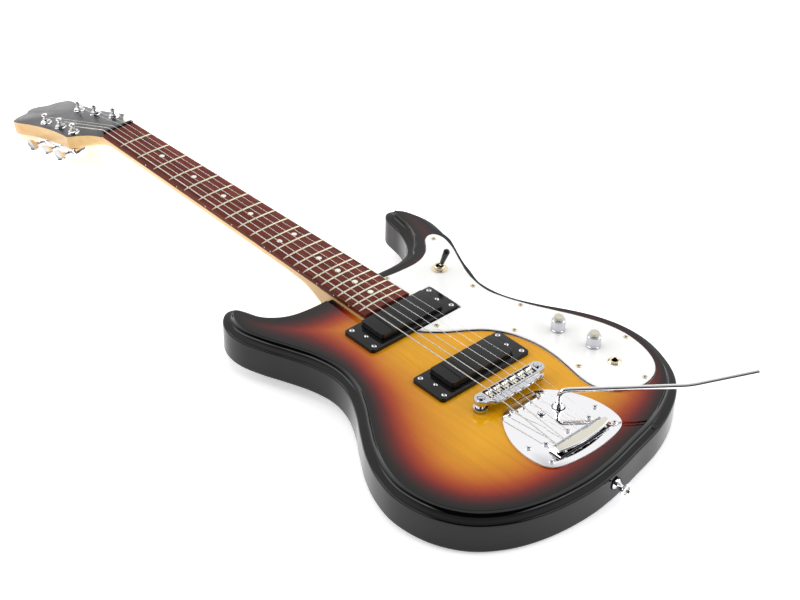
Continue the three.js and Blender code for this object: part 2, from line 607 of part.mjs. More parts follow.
function makeArm() {
  const z = BODY_TOP + ARM_HEIGHT;
  const [x, y] = ARM_POST;
  const heading = new THREE.Vector3(Math.cos(ARM_HEADING), Math.sin(ARM_HEADING), 0);
  const along = (distance, rise) => new THREE.Vector3(x, y, z + rise).addScaledVector(heading, distance);
  const points = [new THREE.Vector3(x, y, BODY_TOP - 4), new THREE.Vector3(x, y, BODY_TOP + 8),
    new THREE.Vector3(x, y, z - 6), along(1.6, -1.6), along(6, 0), along(40, 0), along(85, 0),
    along(116, 0.3), along(126, 1.6), along(152, 7.4), along(183, 14.4)];
  return tube(points, ARM_DIAMETER / 2, 30, 8);
}

function makeSpring() {
  const [coils, radius, wire] = [4.5, 5.2, 0.8];
  const [low, high] = [VIBRATO_ROUT.floor + 0.4 + wire, BODY_TOP - 5.4 - 0.5 - wire];
  const steps = Math.round(coils * 8);
  const points = Array.from({ length: steps + 1 }, (_, i) => {
    const angle = (2 * Math.PI * coils * i) / steps;
    return new THREE.Vector3(radius * Math.cos(angle), -44 + radius * Math.sin(angle),
      low + ((high - low) * i) / steps);
  });
  return tube(points, wire, steps, 5);
}

// ---------------------------------------------------------------- strap buttons
function strapButtonBlank() {
  return turned([[0, 0.3], [5.4, 0.3], [5.4, 1.6], [3.6, 3], [3.3, 9.4], [6.9, 11.4], [6.9, 12.8],
    [5.8, 13.6], [0, 14]], 18);
}

function makeTailButton() {
  return strapButtonBlank().rotate([90, 0, 0]).translate([0, -137.9, 20]);
}

function makeHornButton() {
  return strapButtonBlank().rotate([-90, 0, 0]).rotate([0, 0, -41.7]).translate([-105, 274.5, 14]);
}

// ---------------------------------------------------------------- tuners, in the headstock's frame
const WORM_OFFSET = 8; // worm axis beyond the post, along the headstock
const WORM_LEVEL = -HEAD_THICKNESS - 7;

function makeTunerHousing({ side, t, x }) {
  const back = -HEAD_THICKNESS - GAP;
  const [x0, x1] = side > 0 ? [x - 8, x + 10] : [x - 10, x + 8];
  const block = box(x0, x1, t - 8, t + 13, back - 13.6, back);
  const sleeve = rod(4.7, x, t, back - 1, 0.6, 10);
  const washer = turned([[0, 0.3], [7, 0.3], [6.9, 1.1], [5.2, 1.5], [5, 3.2], [4.6, 3.6], [0, 3.6]], 10)
    .translate([x, t, 0]);
  const gearRoom = rod(6, x, t, WORM_LEVEL - 2.6, WORM_LEVEL + 2.6, 10);
  const bore = rod(3.35, x, t, WORM_LEVEL - 2, 6, 10);
  const [w0, w1] = side > 0 ? [x - 7, x + 12] : [x - 12, x + 7];
  const wormRoom = rodAlongX(2.7, w0, w1, t + WORM_OFFSET, WORM_LEVEL, 8);
  return cut(union(block, sleeve, washer), gearRoom, bore, wormRoom);
}

function makeTunerPost({ t, x }) {
  const profile = [[0, WORM_LEVEL - 2.2], [5.3, WORM_LEVEL - 2.2], [5.3, WORM_LEVEL + 2.2],
    [3, WORM_LEVEL + 2.2], [3, 4.6], [2.5, 6], [2.5, 8.4], [3, 9.6], [2.8, 11.4], [0, 11.4]];
  return turned(profile, 10).translate([x, t, 0]);
}

const BUTTON = { length: 18, width: 13, thickness: 6.4, reach: 21.6 };

function makeTunerButton({ side, t, x }) {
  const { length, width, thickness, reach } = BUTTON;
  const shape = roundedRectangle(width, length - 2, width / 2 - 0.1);
  const options = {
    depth: thickness - 3, bevelThickness: 1.5, bevelSize: 1, bevelSegments: 1, curveSegments: 2,
  };
  const knob = at(new THREE.ExtrudeGeometry(shape, options), 0, 0, 1.5 - thickness / 2)
    .translate([side * reach, 0, 0]);
  const [w0, w1] = side > 0 ? [-6, reach - 2] : [2 - reach, 6];
  const worm = rodAlongX(2.4, Math.min(w0, side * 9), Math.max(w0, side * 9), 0, 0, 8);
  const shaft = rodAlongX(2, Math.min(w0, w1), Math.max(w0, w1), 0, 0, 8);
  return union(knob, worm, shaft).translate([x, t + WORM_OFFSET, WORM_LEVEL]);
}

// ---------------------------------------------------------------- strings
// Each string runs from the anchor over its saddle and the nut to the winding side of its post.
function stringPaths() {
  const [bass, treble] = [tunerPlaces().slice(0, 3), tunerPlaces().slice(3)];
  const post = [treble[0], treble[1], treble[2], bass[2], bass[1], bass[0]];
  return STRING_DIAMETERS.map((diameter, i) => {
    const radius = Math.max(diameter, STRING_TUBE_MIN) / 2;
    const number = i + 1;
    const bridgeX = stringX(number, BRIDGE_STRING_PITCH);
    const nutX = stringX(number, NUT_STRING_PITCH);
    const anchor = new THREE.Vector3(bridgeX, ANCHOR.ballY, BODY_TOP + ANCHOR.ballZ);
    const saddle = new THREE.Vector3(bridgeX, BRIDGE_Y + 1.6, BODY_TOP + SADDLE_HEIGHT);
    const nut = new THREE.Vector3(nutX, SCALE_LENGTH + 0.4, NUT_STRING_RISE);
    const behindNut = new THREE.Vector3(nutX, HEAD_START_Y - 0.6, NUT_STRING_RISE - 0.1);
    const { side, t, x } = post[i];
    const target = new THREE.Vector3(x - side * (3 + radius + GAP + 0.2), t + 2, 6.6);
    const points = [anchor, saddle, nut.applyMatrix4(neckGroup.matrixWorld),
      behindNut.applyMatrix4(neckGroup.matrixWorld), target.applyMatrix4(headGroup.matrixWorld)];
    return { points, radius };
  });
}

function makeString({ points, radius }) {
  const rings = points.map(({ x, y, z }) => Array.from({ length: 8 }, (_, i) => {
    const angle = (Math.PI * i) / 4;
    return new THREE.Vector3(x + radius * Math.cos(angle), y, z + radius * Math.sin(angle));
  }));
  return loft(rings, onSection);
}

// ---------------------------------------------------------------- the whole guitar
addPart('body', makeBody(), 'sunburst');
addPart('neck', makeNeck(), 'maple', neckGroup);
addPart('truss_rod', makeTrussRod(), 'steel', neckGroup);
addPart('fretboard', makeFretboard(), 'rosewood', neckGroup);
addPart('nut', makeNut(), 'black', neckGroup);
addPart('neck_plate', makeNeckPlate(), 'chrome');
addPart('pickguard', makePickguard(), 'whitePlastic');
for (const [place, y] of Object.entries(PICKUP_Y)) {
  addPart(`pickup_ring_${place}`, makePickupRing(y), 'black');
  addPart(`pickup_${place}`, makePickup(y), 'black');
}
for (const [use, place] of Object.entries(KNOBS)) {
  addPart(`${use}_pot`, makePotentiometer(place), 'steel');
  addPart(`${use}_knob`, makeKnob(place), 'chrome');
}
addPart('output_jack', makeJack(JACK), 'chrome');
addPart('selector_switch', makeSwitchBody(SWITCH), 'chrome');
addPart('selector_lever', makeSwitchLever(SWITCH), 'black');
addPart('bridge_base', makeBridgeBase(), 'chrome');
for (let number = 1; number <= 6; number++) {
  addPart(`saddle_${number}`, makeSaddle(number), 'chrome');
}
for (const [name, side] of [['bass', -1], ['treble', 1]]) {
  addPart(`bridge_post_${name}`, makeBridgePost(side), 'chrome');
  addPart(`bridge_wheel_${name}`, makeBridgeWheel(side), 'chrome');
}
addPart('vibrato_plate', makeVibratoPlate(), 'chrome');
addPart('vibrato_rocker', makeRocker(), 'chrome');
addPart('vibrato_arm', makeArm(), 'chrome');
addPart('vibrato_spring', makeSpring(), 'steel');
addPart('strap_button_tail', makeTailButton(), 'chrome');
addPart('strap_button_horn', makeHornButton(), 'chrome');
tunerPlaces().forEach((place, i) => {
  const name = `${place.side < 0 ? 'bass' : 'treble'}_${(i % 3) + 1}`;
  addPart(`tuner_housing_${name}`, makeTunerHousing(place), 'chrome', headGroup);
  addPart(`tuner_post_${name}`, makeTunerPost(place), 'chrome', headGroup);
  addPart(`tuner_button_${name}`, makeTunerButton(place), 'chrome', headGroup);
});
stringPaths().forEach((path, i) => {
  addPart(`string_${i + 1}`, makeString(path), 'nickelWire');
});

export default guitar;
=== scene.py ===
import math
from math import cos, pi, radians, sin

import bmesh
import bpy
import numpy as np
from mathutils import Matrix, Vector
from mathutils.geometry import delaunay_2d_cdt


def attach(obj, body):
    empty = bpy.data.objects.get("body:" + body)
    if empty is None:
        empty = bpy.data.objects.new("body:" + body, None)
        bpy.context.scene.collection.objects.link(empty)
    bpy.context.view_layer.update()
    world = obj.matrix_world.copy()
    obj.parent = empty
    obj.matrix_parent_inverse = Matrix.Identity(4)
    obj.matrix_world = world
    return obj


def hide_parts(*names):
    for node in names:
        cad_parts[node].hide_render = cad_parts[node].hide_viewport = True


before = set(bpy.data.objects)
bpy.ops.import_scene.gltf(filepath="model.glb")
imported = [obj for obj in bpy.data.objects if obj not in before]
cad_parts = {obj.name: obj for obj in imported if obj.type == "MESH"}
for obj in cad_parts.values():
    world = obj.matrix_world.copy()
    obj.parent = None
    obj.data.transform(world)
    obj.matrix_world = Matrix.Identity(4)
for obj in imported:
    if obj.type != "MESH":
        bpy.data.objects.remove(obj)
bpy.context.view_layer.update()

scene = bpy.context.scene

# ------------------------------------------------------------------ frames, millimetres
MM = 0.001
TOP = 40.0  # top face of the body
NECK = Matrix.Translation((0, 0, TOP + 12.2)) @ Matrix.Rotation(radians(-0.85), 4, "X")
HEAD = NECK @ Matrix.Translation((0, 634.6, -6.5)) @ Matrix.Rotation(radians(-14.85), 4, "X")
SCALE_LENGTH = 628.65
TUNERS = [(side, i + 1, t, side * x) for side in (-1, 1) for i,
          (t, x) in enumerate(((47.9, 28.4), (83.9, 24.6), (119.6, 23.4)))]
WORM_OFFSET, WORM_LEVEL = 8.0, -23.0
VOLUME, TONE, JACK, SWITCH = (104.2, 33.9), (111.6, -6.2), (108.4, -36.8), (87.2, 184.2)
PICKUPS = {"bridge": 47.8, "neck": 145.4}
ARM_POST, ARM_HEIGHT, ARM_HEADING = (18.8, -47.8), 21.4, radians(-38)
BRIDGE_Y = -2.0


# ------------------------------------------------------------------ camera, floor, light
def make_camera():
    azimuth, elevation, roll = radians(-43.201), radians(36.136), radians(1.502)
    back = Vector((sin(azimuth) * cos(elevation), -cos(azimuth) * cos(elevation), sin(elevation)))
    level = Vector((0, 0, 1)).cross(back).normalized()
    upright = back.cross(level)
    right = cos(roll) * level + sin(roll) * upright
    up = cos(roll) * upright - sin(roll) * level
    data = bpy.data.cameras.new("camera")
    data.sensor_fit, data.sensor_width, data.lens = "HORIZONTAL", 36.0, 76.94
    data.clip_end = 50
    camera = bpy.data.objects.new("camera", data)
    turn = Matrix((right, up, back)).transposed().to_4x4()
    camera.matrix_world = Matrix.Translation(Vector((-922.46, -833.12, 1047.35)) * MM) @ turn
    scene.collection.objects.link(camera)
    scene.camera = camera


def make_light(name, location, target, radiance, size):
    data = bpy.data.lights.new(name, "AREA")
    data.shape, data.size, data.size_y = "RECTANGLE", size[0], size[1]
    data.energy = radiance * pi * size[0] * size[1]
    light = bpy.data.objects.new(name, data)
    light.location = location
    light.rotation_euler = (Vector(target) - Vector(location)).to_track_quat("-Z", "Y").to_euler()
    light.visible_glossy = False
    scene.collection.objects.link(light)


# The studio round the guitar. Directions run 0 towards the camera, 1 away from it, 0.5 to either side.
FAR_SIDE = (0.684, 0.729, 0)
ROOM_SWEEP = [(0.22, 0.03), (0.36, 0.3), (0.5, 0.55), (0.66, 1.0), (1.0, 1.0)]  # direction, brightness
PANEL_SWEEP = [(0.2, 0), (0.26, 1), (0.68, 1), (0.76, 0)]  # direction, share of the panels
PANEL_HEIGHT = [(0.4, 0), (0.44, 1), (0.66, 1), (0.72, 0)]  # height on the unit sphere, share of the panels
CEILING_HEIGHT = [(0.84, 0.0), (0.93, 1.0)]
CEILING_COLOUR = (0.5, 0.5, 0.51, 1)
PANEL_COLOUR = (3.6, 3.6, 3.65, 1)


def grey_ramp(tree, value, stops):
    made = tree.nodes.new("ShaderNodeValToRGB")
    elements = made.color_ramp.elements
    while len(elements) < len(stops):
        elements.new(0.5)
    for element, (position, level) in zip(elements, stops):
        element.position, element.color = position, (level, level, level, 1)
    tree.links.new(value, made.inputs[0])
    return made.outputs[0]


def make_world():
    """White beyond the guitar, a bright panel on each side, a dark room behind the camera."""
    world = bpy.data.worlds.new("studio")
    world.use_nodes = True
    tree = world.node_tree
    link = tree.links.new
    coords = tree.nodes.new("ShaderNodeTexCoord")
    split = tree.nodes.new("ShaderNodeSeparateXYZ")
    link(coords.outputs["Generated"], split.inputs[0])
    away = tree.nodes.new("ShaderNodeVectorMath")
    away.operation = "DOT_PRODUCT"
    away.inputs[1].default_value = FAR_SIDE
    link(coords.outputs["Generated"], away.inputs[0])
    shifted = tree.nodes.new("ShaderNodeMath")
    shifted.operation = "MULTIPLY_ADD"
    shifted.inputs[1].default_value, shifted.inputs[2].default_value = 0.5, 0.5
    link(away.outputs["Value"], shifted.inputs[0])
    sweep = grey_ramp(tree, shifted.outputs[0], ROOM_SWEEP)
    above = grey_ramp(tree, split.outputs["Z"], CEILING_HEIGHT)
    beside = grey_ramp(tree, shifted.outputs[0], PANEL_SWEEP)
    height = grey_ramp(tree, split.outputs["Z"], PANEL_HEIGHT)
    panel = tree.nodes.new("ShaderNodeMath")
    panel.operation = "MULTIPLY"
    link(beside, panel.inputs[0])
    link(height, panel.inputs[1])
    level = sweep
    for mask, colour in ((above, CEILING_COLOUR), (panel.outputs[0], PANEL_COLOUR)):
        mix = tree.nodes.new("ShaderNodeMix")
        mix.data_type = "RGBA"
        mix.inputs[7].default_value = colour
        link(mask, mix.inputs[0])
        link(level, mix.inputs[6])
        level = mix.outputs[2]
    link(level, tree.nodes["Background"].inputs[0])
    tree.nodes["Background"].inputs[1].default_value = 1.0
    scene.world = world


# ------------------------------------------------------------------ materials
def linear(r, g, b, alpha=1.0):
    channel = [((v / 255 + 0.055) / 1.055) ** 2.4 if v > 10 else v / 255 / 12.92 for v in (r, g, b)]
    return (*channel, alpha)


class Material:
    """A Principled material with helpers for the few node patterns used here."""

    def __init__(self, name, slot, colour, roughness, metallic=0.0, **sockets):
        self.mat = bpy.data.materials.new(name)
        self.mat.use_nodes = True
        self.tree = self.mat.node_tree
        self.bsdf = self.tree.nodes["Principled BSDF"]
        self.slot = slot
        self.bsdf.inputs["Base Color"].default_value = colour
        self.bsdf.inputs["Roughness"].default_value = roughness
        self.bsdf.inputs["Metallic"].default_value = metallic
        for key, value in sockets.items():
            self.bsdf.inputs[key.replace("_", " ")].default_value = value
        self.mat.diffuse_color = colour

    def node(self, kind, **values):
        made = self.tree.nodes.new(kind)
        for key, value in values.items():
            if hasattr(made, key):
                setattr(made, key, value)
            else:
                made.inputs[key.replace("_", " ")].default_value = value
        return made

    def link(self, source, target):
        self.tree.links.new(source, target)

    def coordinates(self, stretch=(1, 1, 1)):
        coords = self.node("ShaderNodeTexCoord")
        mapping = self.node("ShaderNodeMapping")
        mapping.inputs["Scale"].default_value = stretch
        self.link(coords.outputs["Object"], mapping.inputs["Vector"])
        return mapping.outputs[0]

    def noise(self, scale, stretch=(1, 1, 1), detail=3.0, roughness=0.5):
        made = self.node("ShaderNodeTexNoise", Scale=scale, Detail=detail, Roughness=roughness)
        self.link(self.coordinates(stretch), made.inputs["Vector"])
        return made.outputs["Fac"]

    def remap(self, value, low, high, start=0.3, end=0.7):
        made = self.node("ShaderNodeMapRange")
        for name, number in (("From Min", start), ("From Max", end), ("To Min", low), ("To Max", high)):
            made.inputs[name].default_value = number
        self.link(value, made.inputs["Value"])
        return made.outputs["Result"]

    def ramp(self, value, stops):
        made = self.node("ShaderNodeValToRGB")
        elements = made.color_ramp.elements
        while len(elements) < len(stops):
            elements.new(0.5)
        for element, (position, colour) in zip(elements, stops):
            element.position, element.color = position, colour
        self.link(value, made.inputs[0])
        return made.outputs[0]

    def mix(self, factor, a, b, blend="MIX"):
        made = self.node("ShaderNodeMix", data_type="RGBA", blend_type=blend)
        for value, socket in ((factor, made.inputs[0]), (a, made.inputs[6]), (b, made.inputs[7])):
            if isinstance(value, bpy.types.NodeSocket):
                self.link(value, socket)
            else:
                socket.default_value = value
        return made.outputs[2]

    def math(self, operation, a, b):
        made = self.node("ShaderNodeMath", operation=operation)
        for value, socket in ((a, made.inputs[0]), (b, made.inputs[1])):
            if isinstance(value, bpy.types.NodeSocket):
                self.link(value, socket)
            else:
                socket.default_value = value
        return made.outputs[0]

    def colour(self, socket):
        self.link(socket, self.bsdf.inputs["Base Color"])
        return self

    def rough(self, scale, low, high, stretch=(1, 1, 1)):
        value = self.remap(self.noise(scale, stretch), low, high)
        self.link(value, self.bsdf.inputs["Roughness"])
        return self

    def bump(self, value, distance, strength=1.0):
        made = self.node("ShaderNodeBump", Strength=strength, Distance=distance)
        self.link(value, made.inputs["Height"])
        self.link(made.outputs[0], self.bsdf.inputs["Normal"])
        return self


BURST = [  # distance from the edge in mm, colour of the stain there
    (9, (3, 3, 4)), (14, (9, 4, 5)), (18, (40, 8, 7)), (22, (66, 11, 9)), (27, (96, 18, 10)),
    (33, (136, 36, 8)), (41, (165, 66, 8)), (48, (182, 94, 7)), (56, (194, 115, 9)),
    (66, (203, 132, 10)), (80, (214, 147, 12)), (98, (222, 158, 15)),
]


def sunburst_lacquer():
    m = Material("sunburst_lacquer", "body_lacquer", linear(240, 176, 16), 0.4,
                 Specular_IOR_Level=0.0, Coat_Weight=1.0, Coat_Roughness=0.02, Coat_IOR=1.38)
    edge = m.node("ShaderNodeAttribute", attribute_name="edge").outputs["Fac"]
    cloud = m.noise(9.0, (1, 1, 1), 2.0)
    grain = m.noise(1.0, (210, 9, 60), 4.0, 0.6)
    wander = m.math("MULTIPLY", m.math("SUBTRACT", cloud, 0.5), 7.0)
    depth = m.math("DIVIDE", m.math("ADD", edge, wander), 100.0)
    stain = m.ramp(depth, [(d / 100, linear(*c)) for d, c in BURST])
    shade = m.remap(grain, 0.90, 1.05, 0.25, 0.75)
    grey = m.node("ShaderNodeCombineColor")
    for channel in range(3):
        m.link(shade, grey.inputs[channel])
    m.colour(m.mix(1.0, stain, grey.outputs[0], "MULTIPLY"))
    m.bump(m.noise(160, detail=1.0), 0.00002, 0.25)
    return m


def timber(name, slot, pale, dark, stretch, roughness, **sockets):
    m = Material(name, slot, linear(*pale), roughness, **sockets)
    figure = m.noise(1.0, stretch, 6.0, 0.65)
    fleck = m.noise(1.0, tuple(3.1 * s for s in stretch), 3.0, 0.7)
    blend = m.math("ADD", m.math("MULTIPLY", figure, 0.7), m.math("MULTIPLY", fleck, 0.3))
    m.colour(m.ramp(blend, [(0.36, linear(*dark)), (0.62, linear(*pale))]))
    return m, fleck


def chrome(name, slot="chrome", tint=(244, 244, 246), low=0.03, high=0.09):
    return Material(name, slot, linear(*tint), low, 1.0).rough(900, low, high)


def gloss(name, slot, colour, low, high, **sockets):
    m = Material(name, slot, linear(*colour), low, **sockets).rough(55, low, high)
    return m.bump(m.noise(700, detail=2.0), 0.00001, 0.2)


def laminate():
    """White, black and white layers, told apart by their height above the body."""
    m = Material("pickguard_laminate", "white_laminate", linear(240, 240, 238), 0.12, IOR=1.45)
    coords = m.node("ShaderNodeTexCoord")
    split = m.node("ShaderNodeSeparateXYZ")
    m.link(coords.outputs["Object"], split.inputs[0])
    height = m.math("MULTIPLY", m.math("SUBTRACT", split.outputs["Z"], TOP * MM), 1000 / 2.4)
    white, black = linear(243, 243, 241), linear(22, 22, 26)
    stops = [(0.0, white), (0.25, black), (0.66, white)]
    bands = m.ramp(height, stops)
    bands.node.color_ramp.interpolation = "CONSTANT"
    m.colour(bands)
    m.link(m.remap(m.noise(40), 0.07, 0.14), m.bsdf.inputs["Roughness"])
    return m


def wound_wire():
    m = Material("string_wound", "string_wire", linear(206, 203, 196), 0.25, 1.0)
    wave = m.node("ShaderNodeTexWave", bands_direction="Y", Scale=900.0, Distortion=0.2)
    m.link(m.coordinates(), wave.inputs["Vector"])
    m.rough(300, 0.2, 0.36)
    return m.bump(wave.outputs["Fac"], 0.00006, 0.6)


def make_materials():
    made = {
        "burst": sunburst_lacquer(),
        "chrome": chrome("mirror_chrome"),
        "turned": chrome("turned_chrome", tint=(206, 207, 211), low=0.05, high=0.12),
        "satin": chrome("satin_nickel", tint=(214, 208, 194), low=0.16, high=0.3),
        "fret": chrome("fret_wire", tint=(222, 222, 196), low=0.3, high=0.45),
        "brass": chrome("saddle_plating", tint=(226, 220, 206), low=0.08, high=0.2),
        "steel": chrome("zinc_steel", "steel", (178, 178, 182), 0.3, 0.45),
        "black": gloss("black_plastic", "black_plastic", (12, 12, 14), 0.1, 0.2, IOR=1.4),
        # painted shade: near-black for the insides of the jack and the selector throat
        "hollow": Material("painted_bore_shade", "black_plastic", linear(5, 5, 6), 0.7).rough(80, 0.6, 0.8),
        "veneer": gloss("headstock_gloss", "maple", (24, 24, 28), 0.26, 0.34, IOR=1.62),
        # painted shade: near-black for the walls and floors of the routed recesses
        "cavity_shade": Material("painted_cavity_shade", "body_lacquer", linear(9, 9, 10), 0.8).rough(60, 0.7, 0.9),
        "cream": chrome("warm_nickel", tint=(240, 226, 196), low=0.14, high=0.24),
        "bar": chrome("brushed_bar", tint=(226, 222, 208), low=0.2, high=0.3),
        # painted shade: a dark grey metal laid into screw recesses, the bridge trough and the anchor slot to
        # stand for the shade inside them
        "recess_shade": chrome("painted_recess_shade", tint=(60, 60, 64), low=0.35, high=0.5),
        "laminate": laminate(),
        "wire": Material("string_plain", "string_wire", linear(228, 228, 226), 0.14, 1.0).rough(400, 0.1,
            0.2),
        "wound": wound_wire(),
        "pearl": gloss("pearl_dots", "black_plastic", (238, 238, 226), 0.15, 0.3),
        "felt": Material("felt_washer", "black_plastic", linear(20, 20, 22), 0.95).rough(200, 0.9, 1.0),
    }
    maple, _ = timber("maple_lacquer", "maple", (250, 213, 142), (231, 178, 104), (38, 2.2, 26), 0.3,
                      Coat_Weight=0.5, Coat_Roughness=0.08, Coat_IOR=1.4)
    board, fleck = timber("rosewood_board", "rosewood", (126, 58, 45), (58, 23, 19), (300, 8, 120), 0.5,
                          Specular_IOR_Level=0.12)
    board.bump(fleck, 0.0001, 0.35)
    felt = made["felt"]
    felt.bump(felt.noise(2500, detail=3.0), 0.0004, 0.8)
    made.update(maple=maple, board=board)
    return made


# ------------------------------------------------------------------ mesh helpers, millimetres
class Geo:
    """Vertices and faces in millimetres, with one material number per face."""

    def __init__(self, verts=(), faces=(), mats=None):
        self.verts = [tuple(v) for v in verts]
        self.faces = [tuple(f) for f in faces]
        self.mats = list(mats) if mats is not None else [0] * len(self.faces)

    def add(self, other, mat=None):
        base = len(self.verts)
        self.verts += other.verts
        self.faces += [tuple(base + i for i in f) for f in other.faces]
        self.mats += other.mats if mat is None else [mat] * len(other.faces)
        return self

    def moved(self, matrix):
        return Geo([tuple(matrix @ Vector(v)) for v in self.verts], self.faces, self.mats)

    def at(self, x, y, z=0.0, turn=0.0):
        return self.moved(Matrix.Translation((x, y, z)) @ Matrix.Rotation(turn, 4, "Z"))


def lathe(profile, segments=48, knurl=None):
    """Turned about Z; knurl is (low, high, ridges, depth)."""
    verts, faces, rows = [], [], []
    closed = profile[0] == profile[-1]
    for r, z in profile[:-1] if closed else profile:
        if r < 1e-6:
            rows.append([len(verts)])
            verts.append((0, 0, z))
            continue
        row = []
        for i in range(segments):
            a = 2 * pi * i / segments
            cut = knurl[3] * (0.5 - 0.5 * cos(a * knurl[2])) if knurl and knurl[0] <= z <= knurl[1] else 0
            row.append(len(verts))
            verts.append(((r - cut) * cos(a), (r - cut) * sin(a), z))
        rows.append(row)
    pairs = list(zip(rows, rows[1:])) + ([(rows[-1], rows[0])] if closed else [])
    for low, high in pairs:
        if len(low) == 1 and len(high) == 1:
            continue
        for i in range(segments):
            j = (i + 1) % segments
            if len(low) == 1:
                faces.append((low[0], high[j], high[i]))
            elif len(high) == 1:
                faces.append((low[i], low[j], high[0]))
            else:
                faces.append((low[i], low[j], high[j], high[i]))
    return Geo(verts, faces)


def mitres(outline):
    """Inward unit offsets at the corners of a counter-clockwise outline."""
    p = np.array(outline, float)
    edge = np.roll(p, -1, 0) - p
    edge /= np.maximum(np.linalg.norm(edge, axis=1, keepdims=True), 1e-9)
    inward = np.stack([-edge[:, 1], edge[:, 0]], 1)
    before = np.roll(inward, 1, 0)
    return (inward + before) / np.maximum(1 + (inward * before).sum(1, keepdims=True), 0.35)


def counter_clockwise(outline):
    p = np.array(outline, float)
    q = np.roll(p, -1, 0)
    area = (p[:, 0] * q[:, 1] - q[:, 0] * p[:, 1]).sum()
    return list(outline) if area > 0 else list(outline)[::-1]


def slab(outline, levels, share=None):
    """Rings of the outline, each moved inwards and up: levels are (inset, height), bottom to top."""
    outline = counter_clockwise(outline)
    p, n, count = np.array(outline, float), mitres(outline), len(outline)
    if share is not None:
        n = n * share[:, None]
    verts, faces = [], []
    for inset, z in levels:
        verts += [(x, y, z) for x, y in p + n * inset]
    for k in range(len(levels) - 1):
        for i in range(count):
            j = (i + 1) % count
            faces.append((k * count + i, k * count + j, (k + 1) * count + j, (k + 1) * count + i))
    last = (len(levels) - 1) * count
    faces.append(tuple(range(count))[::-1])
    faces.append(tuple(range(last, last + count)))
    return Geo(verts, faces)


def soft(z0, z1, r, lower=None):
    """Levels of a block whose edges are rounded."""
    lower = r if lower is None else lower
    steps = (0.0, 0.3, 0.65, 1.0)
    bottom = [(lower * (1 - sin(s * pi / 2)), z0 + lower * (1 - cos(s * pi / 2))) for s in steps]
    top = [(r * (1 - cos(s * pi / 2)), z1 - r * (1 - sin(s * pi / 2))) for s in steps]
    return bottom + top


def round_rect(width, length, radius, cx=0.0, cy=0.0, steps=6):
    points = []
    for k, (sx, sy) in enumerate(((1, 1), (-1, 1), (-1, -1), (1, -1))):
        for i in range(steps + 1):
            a = (k + i / steps) * pi / 2
            points.append((cx + sx * (width / 2 - radius) + radius * cos(a),
                           cy + sy * (length / 2 - radius) + radius * sin(a)))
    return points


def box(x0, x1, y0, y1, z0, z1, r=0.5):
    outline = round_rect(x1 - x0, y1 - y0, r * 1.2, (x0 + x1) / 2, (y0 + y1) / 2, 3)
    return slab(outline, soft(z0, z1, r))


def smooth_loop(points, count, closed=True):
    """Evenly spaced points on a centripetal Catmull-Rom curve through the knots."""
    p = [Vector((x, y)) for x, y in points]
    if not closed:
        p = [2 * p[0] - p[1], *p, 2 * p[-1] - p[-2]]
    dense, n = [], len(p)
    for i in range(n if closed else n - 3):
        a, b, c, d = (p[(i + k - 1) % n] if closed else p[i + k] for k in range(4))
        ta, tb, tc = (max((v - u).length, 1e-6) ** 0.5 for u, v in ((a, b), (b, c), (c, d)))
        m1 = tb * ((b - a) / ta - (c - a) / (ta + tb) + (c - b) / tb)
        m2 = tb * ((c - b) / tb - (d - b) / (tb + tc) + (d - c) / tc)
        for s in np.linspace(0, 1, 24, endpoint=False):
            h = 2 * s**3 - 3 * s**2 + 1, s**3 - 2 * s**2 + s, 3 * s**2 - 2 * s**3, s**3 - s**2
            dense.append(h[0] * b + h[1] * m1 + h[2] * c + h[3] * m2)
    if not closed:
        dense.append(p[-2])
    q = np.array([tuple(v) for v in dense])
    loop = np.vstack([q, q[:1]]) if closed else q
    run = np.concatenate([[0], np.cumsum(np.linalg.norm(np.diff(loop, axis=0), axis=1))])
    where = np.linspace(0, run[-1], count, endpoint=not closed)
    return list(zip(np.interp(where, run, loop[:, 0]), np.interp(where, run, loop[:, 1])))


def tube(points, radius, sides=12, caps=True):
    """A round bar along points; radius is one number or one per point."""
    p = [Vector(v) for v in points]
    radii = radius if isinstance(radius, (list, tuple)) else [radius] * len(p)
    verts, faces = [], []
    across = None
    for i, v in enumerate(p):
        along = (p[min(i + 1, len(p) - 1)] - p[max(i - 1, 0)]).normalized()
        if across is None:
            across = along.orthogonal().normalized()
        across = (across - along * across.dot(along)).normalized()
        other = along.cross(across)
        for k in range(sides):
            a = 2 * pi * k / sides
            verts.append(tuple(v + radii[i] * (cos(a) * across + sin(a) * other)))
    for i in range(len(p) - 1):
        for k in range(sides):
            j = (k + 1) % sides
            faces.append((i * sides + k, i * sides + j, (i + 1) * sides + j, (i + 1) * sides + k))
    if caps:
        faces.append(tuple(range(sides))[::-1])
        faces.append(tuple(range((len(p) - 1) * sides, len(p) * sides)))
    return Geo(verts, faces)


def bend_points(points, radius, steps=6):
    """The polyline with each inner corner rounded to about that radius."""
    p = [Vector(v) for v in points]
    out = [p[0]]
    for before, corner, after in zip(p, p[1:], p[2:]):
        reach = min(radius, (corner - before).length * 0.48, (after - corner).length * 0.48)
        start = corner + (before - corner).normalized() * reach
        end = corner + (after - corner).normalized() * reach
        for k in range(steps + 1):
            s = k / steps
            out.append((1 - s) ** 2 * start + 2 * s * (1 - s) * corner + s**2 * end)
    return out + [p[-1]]


def sections(rings):
    """Skin over equal rings, capped at both ends."""
    count = len(rings[0])
    verts = [v for ring in rings for v in ring]
    faces = []
    for k in range(len(rings) - 1):
        for i in range(count):
            j = (i + 1) % count
            faces.append((k * count + i, k * count + j, (k + 1) * count + j, (k + 1) * count + i))
    last = (len(rings) - 1) * count
    return Geo(verts, faces + [tuple(range(count))[::-1], tuple(range(last, last + count))])


